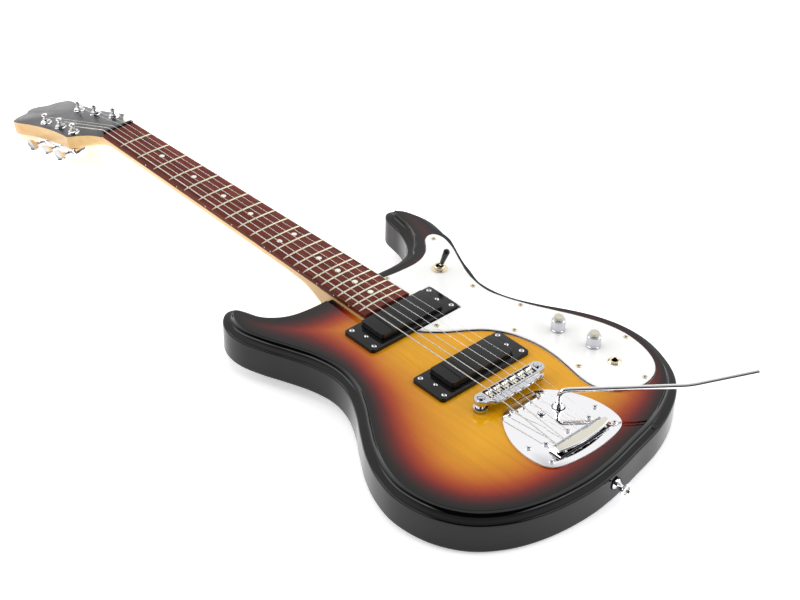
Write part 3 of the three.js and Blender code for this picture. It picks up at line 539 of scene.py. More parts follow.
def screw(radius, height=1.1, turn=0.4):
    """Domed head with a cross recess, whose faces carry material 1; the callers give that material the
    painted shade of the recess.
    """
    rings = (0.0, 0.12, 0.24, 0.36, 0.48, 0.56, 0.7, 0.84, 0.95, 1.0)
    verts, faces, mats, rows, segments = [], [], [], [], 32
    deep = set()
    for f in rings:
        row = []
        for i in range(1 if f == 0 else segments):
            a = 2 * pi * i / segments
            x, y = f * cos(a), f * sin(a)
            z = height * (1 - 0.75 * f**2.4)
            if f < 0.52 and min(abs(x), abs(y)) < 0.13:
                z -= 0.7 * height * (1 - f)
                deep.add(len(verts))
            row.append(len(verts))
            verts.append((radius * x, radius * y, z))
        rows.append(row)
    for z, f in ((-0.1, 1.0), (-0.4, 0.98)):
        rows.append(list(range(len(verts), len(verts) + segments)))
        verts += [(radius * f * cos(2 * pi * i / segments), radius * f * sin(2 * pi * i / segments), z)
                  for i in range(segments)]
    for low, high in zip(rows, rows[1:]):
        for i in range(segments):
            j = (i + 1) % segments
            face = (low[0], high[i], high[j]) if len(low) == 1 else (low[i], high[i], high[j], low[j])
            faces.append(face)
            mats.append(1 if sum(v in deep for v in face) * 2 >= len(face) else 0)
    faces.append(tuple(rows[-1]))
    return Geo(verts, faces, mats + [0]).at(0, 0, 0, turn)


def mesh_from(name, geo, materials):
    mesh = bpy.data.meshes.new(name)
    mesh.from_pydata([tuple(c * MM for c in v) for v in geo.verts], [], geo.faces)
    for m in materials:
        mesh.materials.append(m.mat)
    mesh.polygons.foreach_set("material_index", geo.mats)
    work = bmesh.new()
    work.from_mesh(mesh)
    bmesh.ops.recalc_face_normals(work, faces=work.faces)
    work.to_mesh(mesh)
    work.free()
    return mesh


def finish_shading(mesh, angle):
    mesh.shade_smooth()
    mesh.set_sharp_from_angle(angle=radians(angle))


def piece(name, geo, material, body="guitar", node=(), matrix=None, angle=32, bevel=0.0):
    """A visible piece riding on a body, standing for the CAD nodes named."""
    materials = material if isinstance(material, (list, tuple)) else [material]
    if matrix is not None:
        geo = geo.moved(matrix)
    mesh = mesh_from(name, geo, materials)
    finish_shading(mesh, angle)
    made = bpy.data.objects.new(name, mesh)
    scene.collection.objects.link(made)
    if bevel:
        rounding = made.modifiers.new("edge", "BEVEL")
        rounding.width, rounding.segments, rounding.angle_limit = bevel * MM, 2, radians(32)
        rounding.harden_normals = True
    if node:
        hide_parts(*([node] if isinstance(node, str) else node))
    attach(made, body)
    return made


def keep(node, material):
    """A CAD node that shows as it is, in a better material."""
    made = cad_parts[node]
    for place in made.material_slots:
        place.link = "OBJECT"
        place.material = material.mat
    rounding = made.modifiers.new("edge", "BEVEL")
    rounding.width, rounding.segments, rounding.angle_limit = 0.25 * MM, 2, radians(40)


# ------------------------------------------------------------------ body
BODY_OUTLINE = [
    (-36, -139.6), (-82, -134), (-118, -121), (-146, -100), (-164, -70), (-170.5, -32), (-165, -2),
    (-153, 26), (-137, 52), (-121, 76), (-108, 102), (-103, 128), (-107, 155), (-117, 182),
    (-128, 208), (-135, 232), (-134.5, 252), (-127, 269), (-115, 277.8), (-105, 274.5), (-99.5, 264),
    (-94.5, 251), (-84, 239.5), (-68, 232), (-48, 229), (-20, 228.5), (20, 229), (45, 230),
    (62, 229.5), (77, 231), (89, 236), (98.5, 246), (105.5, 258), (111, 271.5), (114, 286),
    (117.5, 300), (125, 307.6), (135, 305), (144, 294), (149, 279), (150.3, 263), (147.5, 246),
    (141, 225), (132, 206), (124, 190), (115.5, 170), (112, 149), (114, 125), (121, 104),
    (133, 81), (148.5, 56), (162, 29), (169, 2), (169, -27), (161, -55), (148, -79.5),
    (130, -97.5), (104, -112.5), (76, -123), (40, -130.5), (2, -137.3),
]
CARVE = [  # inset, height: rounded back edge, upright wall, rolled rim, sloping ledge, cove
    (3.0, 0.0), (1.7, 0.25), (0.75, 0.85), (0.2, 1.8), (0.0, 3.0), (0.0, 29.9), (0.12, 30.9), (0.5, 31.75),
    (1.1, 32.35), (1.9, 32.7), (3.4, 33.0), (5.2, 33.35), (6.8, 33.7), (7.7, 34.1), (8.5, 34.8),
    (9.3, 35.8), (10.0, 37.1), (10.5, 38.4), (10.8, 39.5), (11.0, 39.9), (11.4, 40.0),
]
OUTLINE_COUNT = 384


def inset_share(outline):
    """How much of each inset a point may take before tight outward bends would cross."""
    p, count, span = np.array(outline), len(outline), 8
    before, after = p - np.roll(p, span, 0), np.roll(p, -span, 0) - p
    turn = np.arctan2(before[:, 0] * after[:, 1] - before[:, 1] * after[:, 0], (before * after).sum(1))
    radius = np.linalg.norm(before, axis=1) / np.maximum(turn, 1e-4)
    room = np.minimum(1, 0.82 * radius / 11.4)
    kernel = np.hanning(27)
    padded = np.concatenate([room[-13:], room, room[:13]])
    return np.convolve(padded, kernel / kernel.sum(), "valid")[:count]


def ledge_share(outline):
    """The carved ledge narrows where the pickguard runs close to the treble waist."""
    x, y = np.array(outline).T
    t = np.clip((62 - abs(y - 190)) / 42, 0, 1) * (x > 90)
    return 1 - 0.78 * t * t * (3 - 2 * t)


def edge_distance(points, outline):
    a = np.array(outline)
    b = np.roll(a, -1, 0)
    d = b - a
    p = np.array(points, float)[:, None, :]
    t = np.clip(((p - a) * d).sum(2) / (d * d).sum(1), 0, 1)
    return np.linalg.norm(p - (a + t[:, :, None] * d), axis=2).min(1)


def filled(ring, spacing=5.0):
    """Triangles over a closed ring, with an even grid of points inside."""
    ring = np.array(ring)
    low, high = ring.min(0), ring.max(0)
    grid = [(x, y) for x in np.arange(low[0], high[0], spacing) for y in np.arange(low[1], high[1], spacing)]
    grid = np.array([g for g, d in zip(grid, edge_distance(grid, ring)) if d > spacing * 0.6])
    coords = [Vector(v) for v in np.vstack([ring, grid])]
    result = delaunay_2d_cdt(coords, [], [list(range(len(ring)))], 1, 1e-5)
    return [tuple(v) for v in result[0]], [tuple(f) for f in result[2]]


def body_geo():
    outline = counter_clockwise(smooth_loop(BODY_OUTLINE, OUTLINE_COUNT))
    share = inset_share(outline) * ledge_share(outline)
    shell = slab(outline, CARVE, share)
    shell.faces, shell.mats = shell.faces[:-2], shell.mats[:-2]
    count = len(outline)
    for start, z in ((0, 0.0), (len(CARVE) - 1, TOP)):
        ring = [v[:2] for v in shell.verts[start * count:(start + 1) * count]]
        verts, faces = filled(ring)
        shell.add(Geo([(x, y, z) for x, y in verts], faces))
    return shell, outline


def cutters():
    """The neck pocket, pickup, vibrato, control and post recesses."""
    half = lambda y: (42 + 16 * (SCALE_LENGTH - y) / (SCALE_LENGTH - 167)) / 2 + 0.3
    pocket = [(-half(166), 166), (half(166), 166), (half(262), 262), (-half(262), 262)]
    made = Geo().add(slab(pocket, [(0, -25.5), (0, 14)]).moved(NECK))
    for y in PICKUPS.values():
        made.add(slab(round_rect(86, 37, 4, 0, y), [(0, TOP - 20), (0, TOP + 1)]))
    made.add(slab(round_rect(66, 56, 6, 0, -64), [(0, 22), (0, TOP + 1)]))
    made.add(slab(round_rect(38, 108, 8, 107, -2), [(0, 8), (0, TOP + 1)]))
    made.add(slab(round_rect(34, 34, 8, *SWITCH), [(0, 8), (0, TOP + 1)]))
    for side in (-1, 1):
        made.add(lathe([(0, 18), (4.2, 18), (4.2, TOP + 1), (0, TOP + 1)], 32).at(side * 37, BRIDGE_Y))
    return made


def boolean(target, cutter_geo, operation="DIFFERENCE"):
    """The target's mesh with the cutter's geometry taken from it or joined to it, for good."""
    cutter = bpy.data.objects.new("cutter", mesh_from("cutter", cutter_geo, []))
    scene.collection.objects.link(cutter)
    step = target.modifiers.new("cut", "BOOLEAN")
    step.operation, step.solver, step.object = operation, "EXACT", cutter
    step.use_self = True
    result = bpy.data.meshes.new_from_object(target.evaluated_get(bpy.context.evaluated_depsgraph_get()))
    target.modifiers.clear()
    target.data = result
    bpy.data.objects.remove(cutter)
    return result


def burst_width(x, y):
    """The stained band is narrow at the waist and wide on the horns and the lower bout."""
    wide = np.interp(y, [-140, -110, -10, 60, 105, 150, 200, 300],
                     [0.86, 0.97, 1.05, 0.93, 0.8, 0.95, 1.15, 1.2])
    return wide * np.interp(x, [20, 80], [1.0, 0.9])


def make_body(mats):
    geo, outline = body_geo()
    mesh = mesh_from("body_lacquered", geo, [mats["burst"], mats["cavity_shade"]])
    work = bmesh.new()
    work.from_mesh(mesh)
    bmesh.ops.remove_doubles(work, verts=work.verts, dist=0.00001)
    bmesh.ops.recalc_face_normals(work, faces=work.faces)
    work.to_mesh(mesh)
    work.free()
    made = bpy.data.objects.new("body_lacquered", mesh)
    scene.collection.objects.link(made)
    mesh = boolean(made, cutters())
    finish_shading(mesh, 38)
    xyz = np.empty(len(mesh.vertices) * 3)
    mesh.vertices.foreach_get("co", xyz)
    xyz = xyz.reshape(-1, 3) / MM
    distance = np.concatenate([edge_distance(part, outline) for part in np.array_split(xyz[:, :2], 12)])
    # faces inside the routed recesses take the near-black material, painted shade in the cavities
    for face in mesh.polygons:
        height, inner = face.center.z / MM, min(distance[v] for v in face.vertices)
        face.material_index = 1 if 1 < height < TOP - 0.1 and inner > 14 else 0
    distance = distance / burst_width(xyz[:, 0], xyz[:, 1])
    attribute = mesh.attributes.new("edge", "FLOAT", "POINT")
    attribute.data.foreach_set("value", distance.astype(np.float32))
    made.modifiers.new("level_top", "WEIGHTED_NORMAL").keep_sharp = True
    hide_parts("body")
    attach(made, "guitar")


# ------------------------------------------------------------------ neck, headstock, fingerboard
def half_width(y):
    return (42 + 16 * (SCALE_LENGTH - y) / (SCALE_LENGTH - 167)) / 2


NECK_STATIONS = [  # distance, depth, squareness of the section
    (167.4, 25.2, 24), (236, 25.2, 24), (243, 24.9, 9), (250, 24.3, 5), (258, 23.8, 3.4), (268, 23.4, 2.6),
    (300, 22.6, 2.25), (420, 21.9, 2.2), (600, 20.6, 2.2), (622, 20.8, 2.25), (632, 21.6, 2.4),
    (638, 22.4, 2.5),
]
HEAD_HALF = [(21, -6), (21, 0), (24, 18), (30, 31), (40.5, 45.5), (37, 68), (34.8, 95), (35, 120),
             (36.8, 144),
             (39.6, 164), (39, 173)]
HEAD_END = [(28, 180.5), (18, 182.5), (13, 184.8), (7.5, 190.6), (0, 193.6)]


def neck_shaft():
    steps, rings = 40, []
    ys = [s[0] for s in NECK_STATIONS]
    fine = sorted(set(ys) | set(np.linspace(243, 638, 60)))
    for y in fine:
        depth = np.interp(y, ys, [s[1] for s in NECK_STATIONS])
        power = np.interp(y, ys, [s[2] for s in NECK_STATIONS])
        top, ring = -6.0, []
        for i in range(steps):
            a = pi * i / (steps - 1)
            c, s = cos(a), sin(a)
            x = half_width(y) * math.copysign(abs(c) ** (2 / power), c)
            ring.append((x, y, top - (depth + top) * abs(s) ** (2 / power)))
        rings.append(ring)
    return sections(rings)


def head_outline():
    start = [HEAD_HALF[0]] + smooth_loop(HEAD_HALF[1:5], 16, closed=False)
    flank = smooth_loop(HEAD_HALF[4:], 26, closed=False)[1:]
    tip = smooth_loop([HEAD_HALF[-1]] + HEAD_END[:2], 8, closed=False)[1:] + smooth_loop(HEAD_END[1:], 12,
        closed=False)[1:]
    right = start + flank + tip
    return right + [(-x, t) for x, t in right[-2::-1]]


def head_root():
    """From the round neck at the nut to the square-edged headstock."""
    flare = [(21, -9), (21, -2)] + smooth_loop(HEAD_HALF[1:5], 30, closed=False)
    ts, halves = [t for _, t in flare], [x for x, _ in flare]
    rings = []
    for t in np.linspace(-9, 43, 27):
        half, power = np.interp(t, ts, halves), np.interp(t, (-9, 8, 22, 34, 43), (2.5, 2.9, 4.2, 8, 26))
        ring = []
        for i in range(40):
            c, s = cos(pi * i / 39), sin(pi * i / 39)
            ring.append((half * math.copysign(abs(c) ** (2 / power), c), t,
                         -0.7 - 15.3 * abs(s) ** (2 / power)))
        rings.append(ring)
    return sections(rings)


def make_neck(mats):
    shaft = neck_shaft()
    outline = head_outline()
    block = slab([(x, t) for x, t in outline if t > 41],
                 [(1.4, -16), (0.6, -15.75), (0.15, -15.2), (0, -14.4), (0, -0.7)])
    neck_back = HEAD.inverted() @ NECK
    made = bpy.data.objects.new("neck_maple", mesh_from("neck_maple", shaft, [mats["maple"]]))
    scene.collection.objects.link(made)
    boolean(made, head_root().moved(neck_back.inverted()), "UNION")
    boolean(made, block.moved(neck_back.inverted()), "UNION")
    over_nut = slab([(-60, 600), (60, 600), (60, 634.6), (-60, 634.6)], [(0, -6.0), (0, 20)])
    boolean(made, over_nut)
    over_face = slab([(-60, -8), (60, -8), (60, 60), (-60, 60)],
                     [(0, -0.7), (0, 20)]).moved(neck_back.inverted())
    boolean(made, over_face)
    holes = Geo()
    for _, _, t, x in TUNERS:
        holes.add(lathe([(0, -20), (5, -20), (5, 4), (0, 4)], 32).at(x, t))
    holes = holes.moved(neck_back.inverted())
    holes.add(slab([(-3, 164), (3, 164), (3, 618), (-3, 618)], [(0, -15.5), (0, 0)]))
    mesh = boolean(made, holes)
    mesh.transform(Matrix.Scale(1 / MM, 4))
    mesh.transform(NECK)
    mesh.transform(Matrix.Scale(MM, 4))
    mesh.materials.clear()
    mesh.materials.append(mats["maple"].mat)
    finish_shading(mesh, 34)
    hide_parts("neck")
    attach(made, "guitar")
    face_outline = [(x, t) for x, t in outline if t > -1]
    face = slab(face_outline, [(0.02, -0.68), (0.0, -0.15), (0.06, -0.04), (0.2, 0.0)])
    holed = bpy.data.objects.new("headstock_face", mesh_from("headstock_face", face, [mats["veneer"]]))
    scene.collection.objects.link(holed)
    bores = Geo()
    for _, _, t, x in TUNERS:
        bores.add(lathe([(0, -2), (5, -2), (5, 2), (0, 2)], 32).at(x, t))
    mesh = boolean(holed, bores)
    mesh.transform(Matrix.Scale(1 / MM, 4))
    mesh.transform(HEAD)
    mesh.transform(Matrix.Scale(MM, 4))
    finish_shading(mesh, 30)
    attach(holed, "guitar")


def crown(x, half):
    return -1 + (half**2 - x**2) / (2 * 305)


def make_fingerboard(mats):
    rings = []
    for y in np.linspace(167, SCALE_LENGTH - 0.1, 40):
        half = half_width(y)
        xs = [half * s for s in (-1, -0.985, -0.96, -0.8, -0.55, -0.28, 0, 0.28, 0.55, 0.8, 0.96, 0.985, 1)]
        drop = {0: 0.55, 1: 0.16, 11: 0.16, 12: 0.55}
        top = [(x, y, crown(x, half) - drop.get(i, 0)) for i, x in enumerate(xs)]
        rings.append(top + [(half, y, -5.85), (-half, y, -5.85)])
    piece("fingerboard_rosewood", sections(rings), mats["board"], node="fretboard", matrix=NECK, angle=40)
    frets, dots = Geo(), Geo()
    fret_y = [SCALE_LENGTH / 2 ** (n / 12) for n in range(23)]
    for y in fret_y[1:]:
        half, rings = half_width(y) - 0.15, []
        for k in range(13):
            f = -1 + 2 * k / 12
            x = half * f
            squash = 0.35 if abs(f) == 1 else 1.0
            z = crown(x, half) - (0.1 if abs(f) < 1 else 0.45)
            rings.append([(x, y + w * (1.0 if squash == 1 else 0.9), z + h * squash) for w, h in
                          ((-1, -0.6), (-1, 0.15), (-0.8, 0.6), (-0.4, 0.95), (0, 1.08), (0.4, 0.95),
                           (0.8, 0.6),
                           (1, 0.15), (1, -0.6))])
        frets.add(sections(rings))
    piece("frets", frets, mats["fret"], matrix=NECK, angle=60)
    for n in (3, 5, 7, 9, 12, 15, 17, 19, 21):
        y = (fret_y[n - 1] + fret_y[n]) / 2
        for x in ((-9.5, 9.5) if n == 12 else (0,)):
            disc = lathe([(0, -0.6), (3.1, -0.6), (3.1, 0.0), (2.9, 0.05), (0, 0.07)], 32)
            dots.add(disc.at(x, y, crown(x, half_width(y))))
        side = lathe([(0, -0.5), (0.8, -0.5), (0.75, 0.06), (0, 0.08)], 16)
        for shift in ((-5, 5) if n == 12 else (0,)):
            turn = Matrix.Translation((-half_width(y + shift), y + shift,
                                       -3.4)) @ Matrix.Rotation(radians(-90), 4, "Y")
            dots.add(side.moved(turn))
    piece("fret_dots", dots, mats["pearl"], matrix=NECK)


def make_nut(mats):
    half, y0, y1 = 20.7, SCALE_LENGTH + 0.2, 634.2
    xs = sorted(set(list(np.linspace(-half, half, 24)) + [s * 7.1 + d for s in (-2.5, -1.5, -0.5, 0.5, 1.5,
        2.5)
                                                            for d in (-0.75, -0.5, 0, 0.5, 0.75)]))
    rings = []
    for x in xs:
        near = min(abs(x - s * 7.1) for s in (-2.5, -1.5, -0.5, 0.5, 1.5, 2.5))
        top = 1.5 - 0.9 * max(0, (abs(x) - 17.5) / 3.2) ** 2
        top = 0.45 if near < 0.6 else top
        rings.append([(x, y0, -5.7), (x, y0, top - 0.3), (x, y0 + 0.5, top), (x, y1 - 1.6, top - 0.2),
                      (x, y1, top - 1.4), (x, y1, -5.7)])
    piece("nut_slotted", sections(rings), mats["black"], node="nut", matrix=NECK, angle=30)


def make_neck_plate(mats):
    plate = slab(round_rect(51, 64, 4, 0, 200), soft(-2.3, -0.35, 0.2, 0.7))
    piece("neck_plate_chrome", plate, mats["chrome"], node="neck_plate")
    heads = Geo()
    for x in (-19, 19):
        for y in (175, 225):
            heads.add(screw(4.2, 1.6).moved(Matrix.Rotation(pi, 4, "X")).at(x, y, -2.2))
    piece("neck_plate_screws", heads, [mats["chrome"], mats["recess_shade"]])


# ------------------------------------------------------------------ pickguard, pickups, controls
GUARD_EDGE = [
    (-2, 121.8), (8, 111.5), (20, 101.5), (36, 91), (49.5, 80.5), (60.5, 66.5), (68.4, 48.3), (72.4, 27),
    (71.9, 5.7), (68.6, -14.9), (65.9, -29.8), (65.3, -43), (68, -55), (76, -66.5), (90, -75),
    (103, -78.3), (115, -77.3), (127, -72.5), (137.5, -63), (145, -49), (149.5, -32), (151, -14),
    (148, 7), (138.5, 33), (125, 60), (113.8, 82), (104.3, 104.9), (99, 127), (103.2, 155),
    (114.8, 182), (125.7, 204.9), (130.5, 224), (127.4, 234.6), (120.6, 237.4), (113, 234.5),
    (105, 225), (97, 217), (86, 211), (74.7, 208.4), (54.6, 208.6), (37, 210.5), (29.6, 211.6),
]
GUARD_SCREWS = [(119.7, 227.7), (34.6, 206.1), (105.4, 85.9), (18.2, 115.1), (71.1, 60.7), (145.6, -18),
                (76.9, -19.1),
                (112.3, -71.5), (92, 140)]


def make_pickguard(mats):
    edge = smooth_loop(GUARD_EDGE, 220, closed=False)
    y0, y1, x1 = PICKUPS["neck"] - 22.1, PICKUPS["neck"] + 22.1, 57.1
    outline = edge + [(30.2, y1), (x1, y1), (x1, y0), (-2, y0)]
    sheet = slab(outline, [(0, TOP + 0.02), (0, TOP + 0.62), (0.12, TOP + 0.75), (0.9, TOP + 1.55),
                           (1.35, TOP + 2.25),
                           (1.6, TOP + 2.4)])
    made = bpy.data.objects.new("pickguard_sheet", mesh_from("pickguard_sheet", sheet, [mats["laminate"]]))
    scene.collection.objects.link(made)
    holes = Geo()
    for (x, y), r in ((VOLUME, 5), (TONE, 5), (JACK, 5), (SWITCH, 6.3)):
        holes.add(lathe([(0, TOP - 1), (r, TOP - 1), (r, TOP + 4), (0, TOP + 4)], 32).at(x, y))
    finish_shading(boolean(made, holes), 25)
    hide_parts("pickguard")
    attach(made, "guitar")
    heads = Geo()
    for i, (x, y) in enumerate(GUARD_SCREWS):
        heads.add(screw(2.9, 0.9, turn=0.7 * i).at(x, y, TOP + 2.4))
    piece("pickguard_screws", heads, [mats["cream"], mats["recess_shade"]])


def make_pickups(mats):
    for place, y in PICKUPS.items():
        frame_geo = slab(round_rect(115, 43, 4, 0, y, 8), soft(TOP + 0.02, TOP + 4.2, 1.1, 0.2))
        made = bpy.data.objects.new(f"pickup_frame_{place}", mesh_from("ring", frame_geo, [mats["black"]]))
        scene.collection.objects.link(made)
        hole = slab(round_rect(80.6, 33.2, 2.4, 0, y), [(0, TOP - 1), (0, TOP + 8)])
        finish_shading(boolean(made, hole), 30)
        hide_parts(f"pickup_ring_{place}")
        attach(made, "guitar")
        cover = slab(round_rect(79, 31.6, 1.8, 0, y, 8), soft(TOP - 7, TOP + 11, 0.7, 0.3))
        cover.add(box(-43.7, 43.7, y - 6, y + 6, TOP - 9, TOP - 6.8))
        piece(f"pickup_cover_{place}", cover, mats["black"], f"pickup_{place}", f"pickup_{place}")
        heads = Geo()
        for sx in (-1, 1):
            for sy in (-1, 1):
                heads.add(screw(2.5, 1.0, turn=0.5 * sx + sy).at(sx * 51.1, y + sy * 16.2, TOP + 4.15))
            heads.add(screw(2.1, 1.3, turn=sx).at(sx * 46.65, y, TOP + 4.3))
        piece(f"pickup_screws_{place}", heads, [mats["chrome"], mats["recess_shade"]])


def make_controls(mats):
    base, top = TOP + 3.0, TOP + 18.3
    skirt = [(0, base + 1.2), (5.2, base + 1.2), (5.2, base), (7.0, base), (7.2, base + 0.2),
             (7.2, base + 0.9), (6.95, base + 1.2),
             (6.95, base + 1.5), (6.98, base + 1.7), (6.95, base + 11.0), (6.8, base + 11.5),
             (6.4, base + 11.9), (5.5, base + 12.3),
             (4.9, base + 12.4), (0, base + 12.4)]
    for name, (x, y) in (("volume", VOLUME), ("tone", TONE)):
        knob = lathe(skirt, 144, (base + 5.2, base + 11.2, 30, 0.3))
        knob.add(lathe([(0, TOP - 8.5), (3.1, TOP - 8.5), (3.1, base + 1.3), (0, base + 1.3)], 32))
        piece(f"{name}_knob_chrome", knob.at(x, y), mats["turned"], f"{name}_knob", f"{name}_knob", angle=28)
        fluted = lathe([(0, base + 12.2), (4.7, base + 12.3), (4.85, base + 12.6), (4.8, top - 0.4),
                        (4.5, top), (0, top)],
                       120, (base + 12.4, top - 0.2, 15, 0.45))
        piece(f"{name}_knob_crown", fluted.at(x, y), mats["satin"], f"{name}_knob", angle=40)
        keep(f"{name}_pot", mats["steel"])
    x, y = JACK
    t = TOP + 2.4
    ring = lathe([(3.25, t - 18), (3.25, t + 1.7), (3.6, t + 2.05), (4.6, t + 2.05), (5.3, t + 1.7),
                  (6.2, t + 0.95),
                  (6.7, t + 0.5), (6.8, t + 0.1), (4.7, t + 0.05), (4.7, t - 18), (3.25, t - 18)], 64)
    piece("output_jack_ring", ring.at(x, y), mats["cream"], node="output_jack")
    # the barrel inside the jack ring is near-black, painted shade in the bore
    barrel = lathe([(3.2, TOP - 21.5), (3.2, t + 0.9), (3.0, t + 0.9), (3.0, TOP - 20), (0, TOP - 20),
                    (0, TOP - 21.5),
                    (3.2, TOP - 21.5)][:-1] + [(3.2, TOP - 21.5)], 40)
    piece("output_jack_bore", barrel.at(x, y), mats["hollow"])
    x, y = SWITCH
    washer = lathe([(4.4, t + 0.05), (8.2, t + 0.05), (8.35, t + 0.4), (8.2, t + 0.9), (7.7, t + 1.15),
                    (4.4, t + 1.15),
                    (4.4, t + 0.05)], 64)
    nut = lathe([(4.2, t + 1.1), (6.1, t + 1.1), (6.2, t + 1.4), (6.1, t + 3.0), (5.7, t + 3.7),
                 (5.1, t + 4.1),
                 (4.4, t + 4.0), (4.1, t + 3.5), (4.2, t + 1.1)], 96, (t + 1.3, t + 3.1, 24, 0.25))
    # the cup inside the selector nut is near-black, painted shade in the throat
    cup = lathe([(4.15, t - 1), (4.15, t + 3.2), (3.85, t + 3.2), (3.85, t - 1), (4.15, t - 1)], 40)
    plates = box(-11, 11, 7.8, 9, TOP - 26, TOP - 3, 0.3)
    plates.add(box(-11, 11, -9, -7.8, TOP - 26, TOP - 3, 0.3)).add(box(-11, 11, -9, 9, TOP - 5.6, TOP - 3,
        0.3))
    piece("selector_nut", washer.add(nut).at(x, y), mats["cream"], node="selector_switch")
    piece("selector_throat", cup.at(x, y), mats["hollow"])
    piece("selector_frame", plates.at(x, y), mats["steel"])
    lean = Matrix.Translation((x, y, TOP + 2.6)) @ Matrix.Rotation(radians(20), 4, "X")
    shaft = lathe([(0, -12), (1.3, -12), (1.5, -2.6), (2.5, -1.2), (2.7, 0), (2.5, 1.2), (1.6, 2.6),
                   (1.6, 10), (0, 10)], 32)
    piece("selector_shaft", shaft, mats["chrome"], "selector_lever", matrix=lean)
    tip = lathe([(0, 8.6), (2.0, 8.6), (2.25, 8.8), (2.35, 9.4), (3.2, 24.2), (3.35, 26.2), (3.2, 27.7),
                 (2.5, 28.7),
                 (1.3, 29.2), (0, 29.3)], 48)
    piece("selector_tip", tip, mats["black"], "selector_lever", "selector_lever", matrix=lean)


# ------------------------------------------------------------------ bridge
def string_x(number, pitch):
    return (3.5 - number) * pitch


def make_bridge(mats):
    z0, z1 = TOP + 8.6, TOP + 13.8
    ends = slab(round_rect(87.2, 14.6, 7, 0, -2.1, 10), soft(z0, z1, 0.9, 0.6))
    made = bpy.data.objects.new("bridge_frame", mesh_from("bridge_frame", ends, [mats["turned"]]))
    scene.collection.objects.link(made)
    bulge = smooth_loop([(-36, -4), (-33.5, -9), (-30, -12.6), (-24, -14.4), (0, -14.6), (24, -14.4),
                         (30, -12.6), (33.5, -9),
                         (36, -4)], 60, closed=False)
    boolean(made, slab(bulge, soft(z0, z1 - 1.6, 1.2, 0.6)), "UNION")
    room = Geo()
    for number in range(1, 7):
        x = string_x(number, 10.4)
        room.add(slab(round_rect(9.3, 11.4, 0.7, x, -2.1), [(0, z0 + 1.6), (0, z1 + 2)]))
    for side in (-1, 1):
        room.add(lathe([(0, z0 - 2), (4.0, z0 - 2), (4.0, z1 + 2), (0, z1 + 2)], 32).at(side * 37, BRIDGE_Y))
    mesh = boolean(made, room)
    # painted shade: the trough floor and its inner walls take the dark metal, standing for the shade down in
    # the trough
    mesh.materials.append(mats["recess_shade"].mat)
    for face in mesh.polygons:
        x, y, z = face.center / MM
        face.material_index = int(abs(x) < 31.6 and abs(y + 2.1) < 5.75 and z < z1 - 0.8)
    finish_shading(mesh, 30)
    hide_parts("bridge_base")
    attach(made, "guitar")
    crest = TOP + 16.4 - 0.9
    heads = Geo()
    for number in range(1, 7):
        x = string_x(number, 10.4)
        z = z0 + 1.9
        profile = [(1.3, z), (1.3, crest - 2.4), (0.3, crest - 0.35), (0.0, crest), (-0.7, crest),
                   (-1.2, crest - 0.3),
                   (-2.6, crest - 2.6), (-4.6, crest - 3.2), (-4.6, z)]
        rings = [[(x + dx, y, zz - (0.35 if abs(dx) == 3.9 and zz > z else 0)) for y, zz in profile]
                 for dx in (-3.9, -3.5, -0.7, -0.35, 0.35, 0.7, 3.5, 3.9)]
        for ring in rings[3:5]:
            for k in (2, 3, 4, 5):
                ring[k] = (ring[k][0], ring[k][1], ring[k][2] - 0.45)
        piece(f"saddle_block_{number}", sections(rings), mats["brass"], f"saddle_{number}",
              f"saddle_{number}", angle=30)
        shank = Matrix.Translation((x, -14.4, z0 + 2.4)) @ Matrix.Rotation(radians(90), 4, "X")
        heads.add(screw(2.0, 1.0, turn=0.4 * number).moved(shank))
        heads.add(tube([(x, -8.2, z0 + 3.1), (x, -4.0, z0 + 3.1)], 1.2, 12))
    piece("intonation_screws", heads, [mats["satin"], mats["recess_shade"]])
    for side, name in ((-1, "bass"), (1, "treble")):
        z = TOP
        post = lathe([(0, z - 20), (3.9, z - 20), (3.9, z - 0.4), (3.1, z + 0.1), (2.9, z + 0.4),
                      (2.9, z + 13), (3.4, z + 13.4), (3.6, z + 13.8),
                      (3.6, z + 15.0), (3.3, z + 15.5), (2.8, z + 15.7), (0, z + 15.75)], 40)
        stud = bpy.data.objects.new(f"bridge_stud_{name}", mesh_from("stud", post.at(side * 37, BRIDGE_Y),
            [mats["turned"]]))
        scene.collection.objects.link(stud)
        slot = box(-5, 5, -0.45, 0.45, z + 14.5, z + 17, 0.1).at(side * 37, BRIDGE_Y, 0, 0.5 * side)
        finish_shading(boolean(stud, slot), 30)
        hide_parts(f"bridge_post_{name}")
        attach(stud, "guitar")
        wheel = lathe([(3.25, z + 0.6), (6.4, z + 0.6), (7.0, z + 0.8), (7.3, z + 1.2), (7.3, z + 3.2),
                       (7.0, z + 3.6), (6.4, z + 3.8),
                       (3.25, z + 3.8), (3.25, z + 0.6)], 160, (z + 1.1, z + 3.3, 40, 0.35))
        wheel.add(lathe([(3.25, z + 3.7), (4.1, z + 3.7), (4.1, z + 7.9), (3.8, z + 8.1), (3.25, z + 8.1),
                         (3.25, z + 3.7)],
                        96, (z + 3.6, z + 8.0, 12, 0.4)))
        piece(f"bridge_thumbwheel_{name}", wheel.at(side * 37, BRIDGE_Y), mats["turned"],
              node=f"bridge_wheel_{name}", angle=30)


# ------------------------------------------------------------------ vibrato tailpiece
VIBRATO_HALF = [
    (0, -15.6), (12, -15.8), (21, -17.8), (30, -23.5), (38, -32.5), (45, -44), (50.5, -58), (53, -73),
    (52.6, -87), (49.6, -97.5), (44, -103.4), (34, -107), (18, -109.6), (0, -110.6),
]


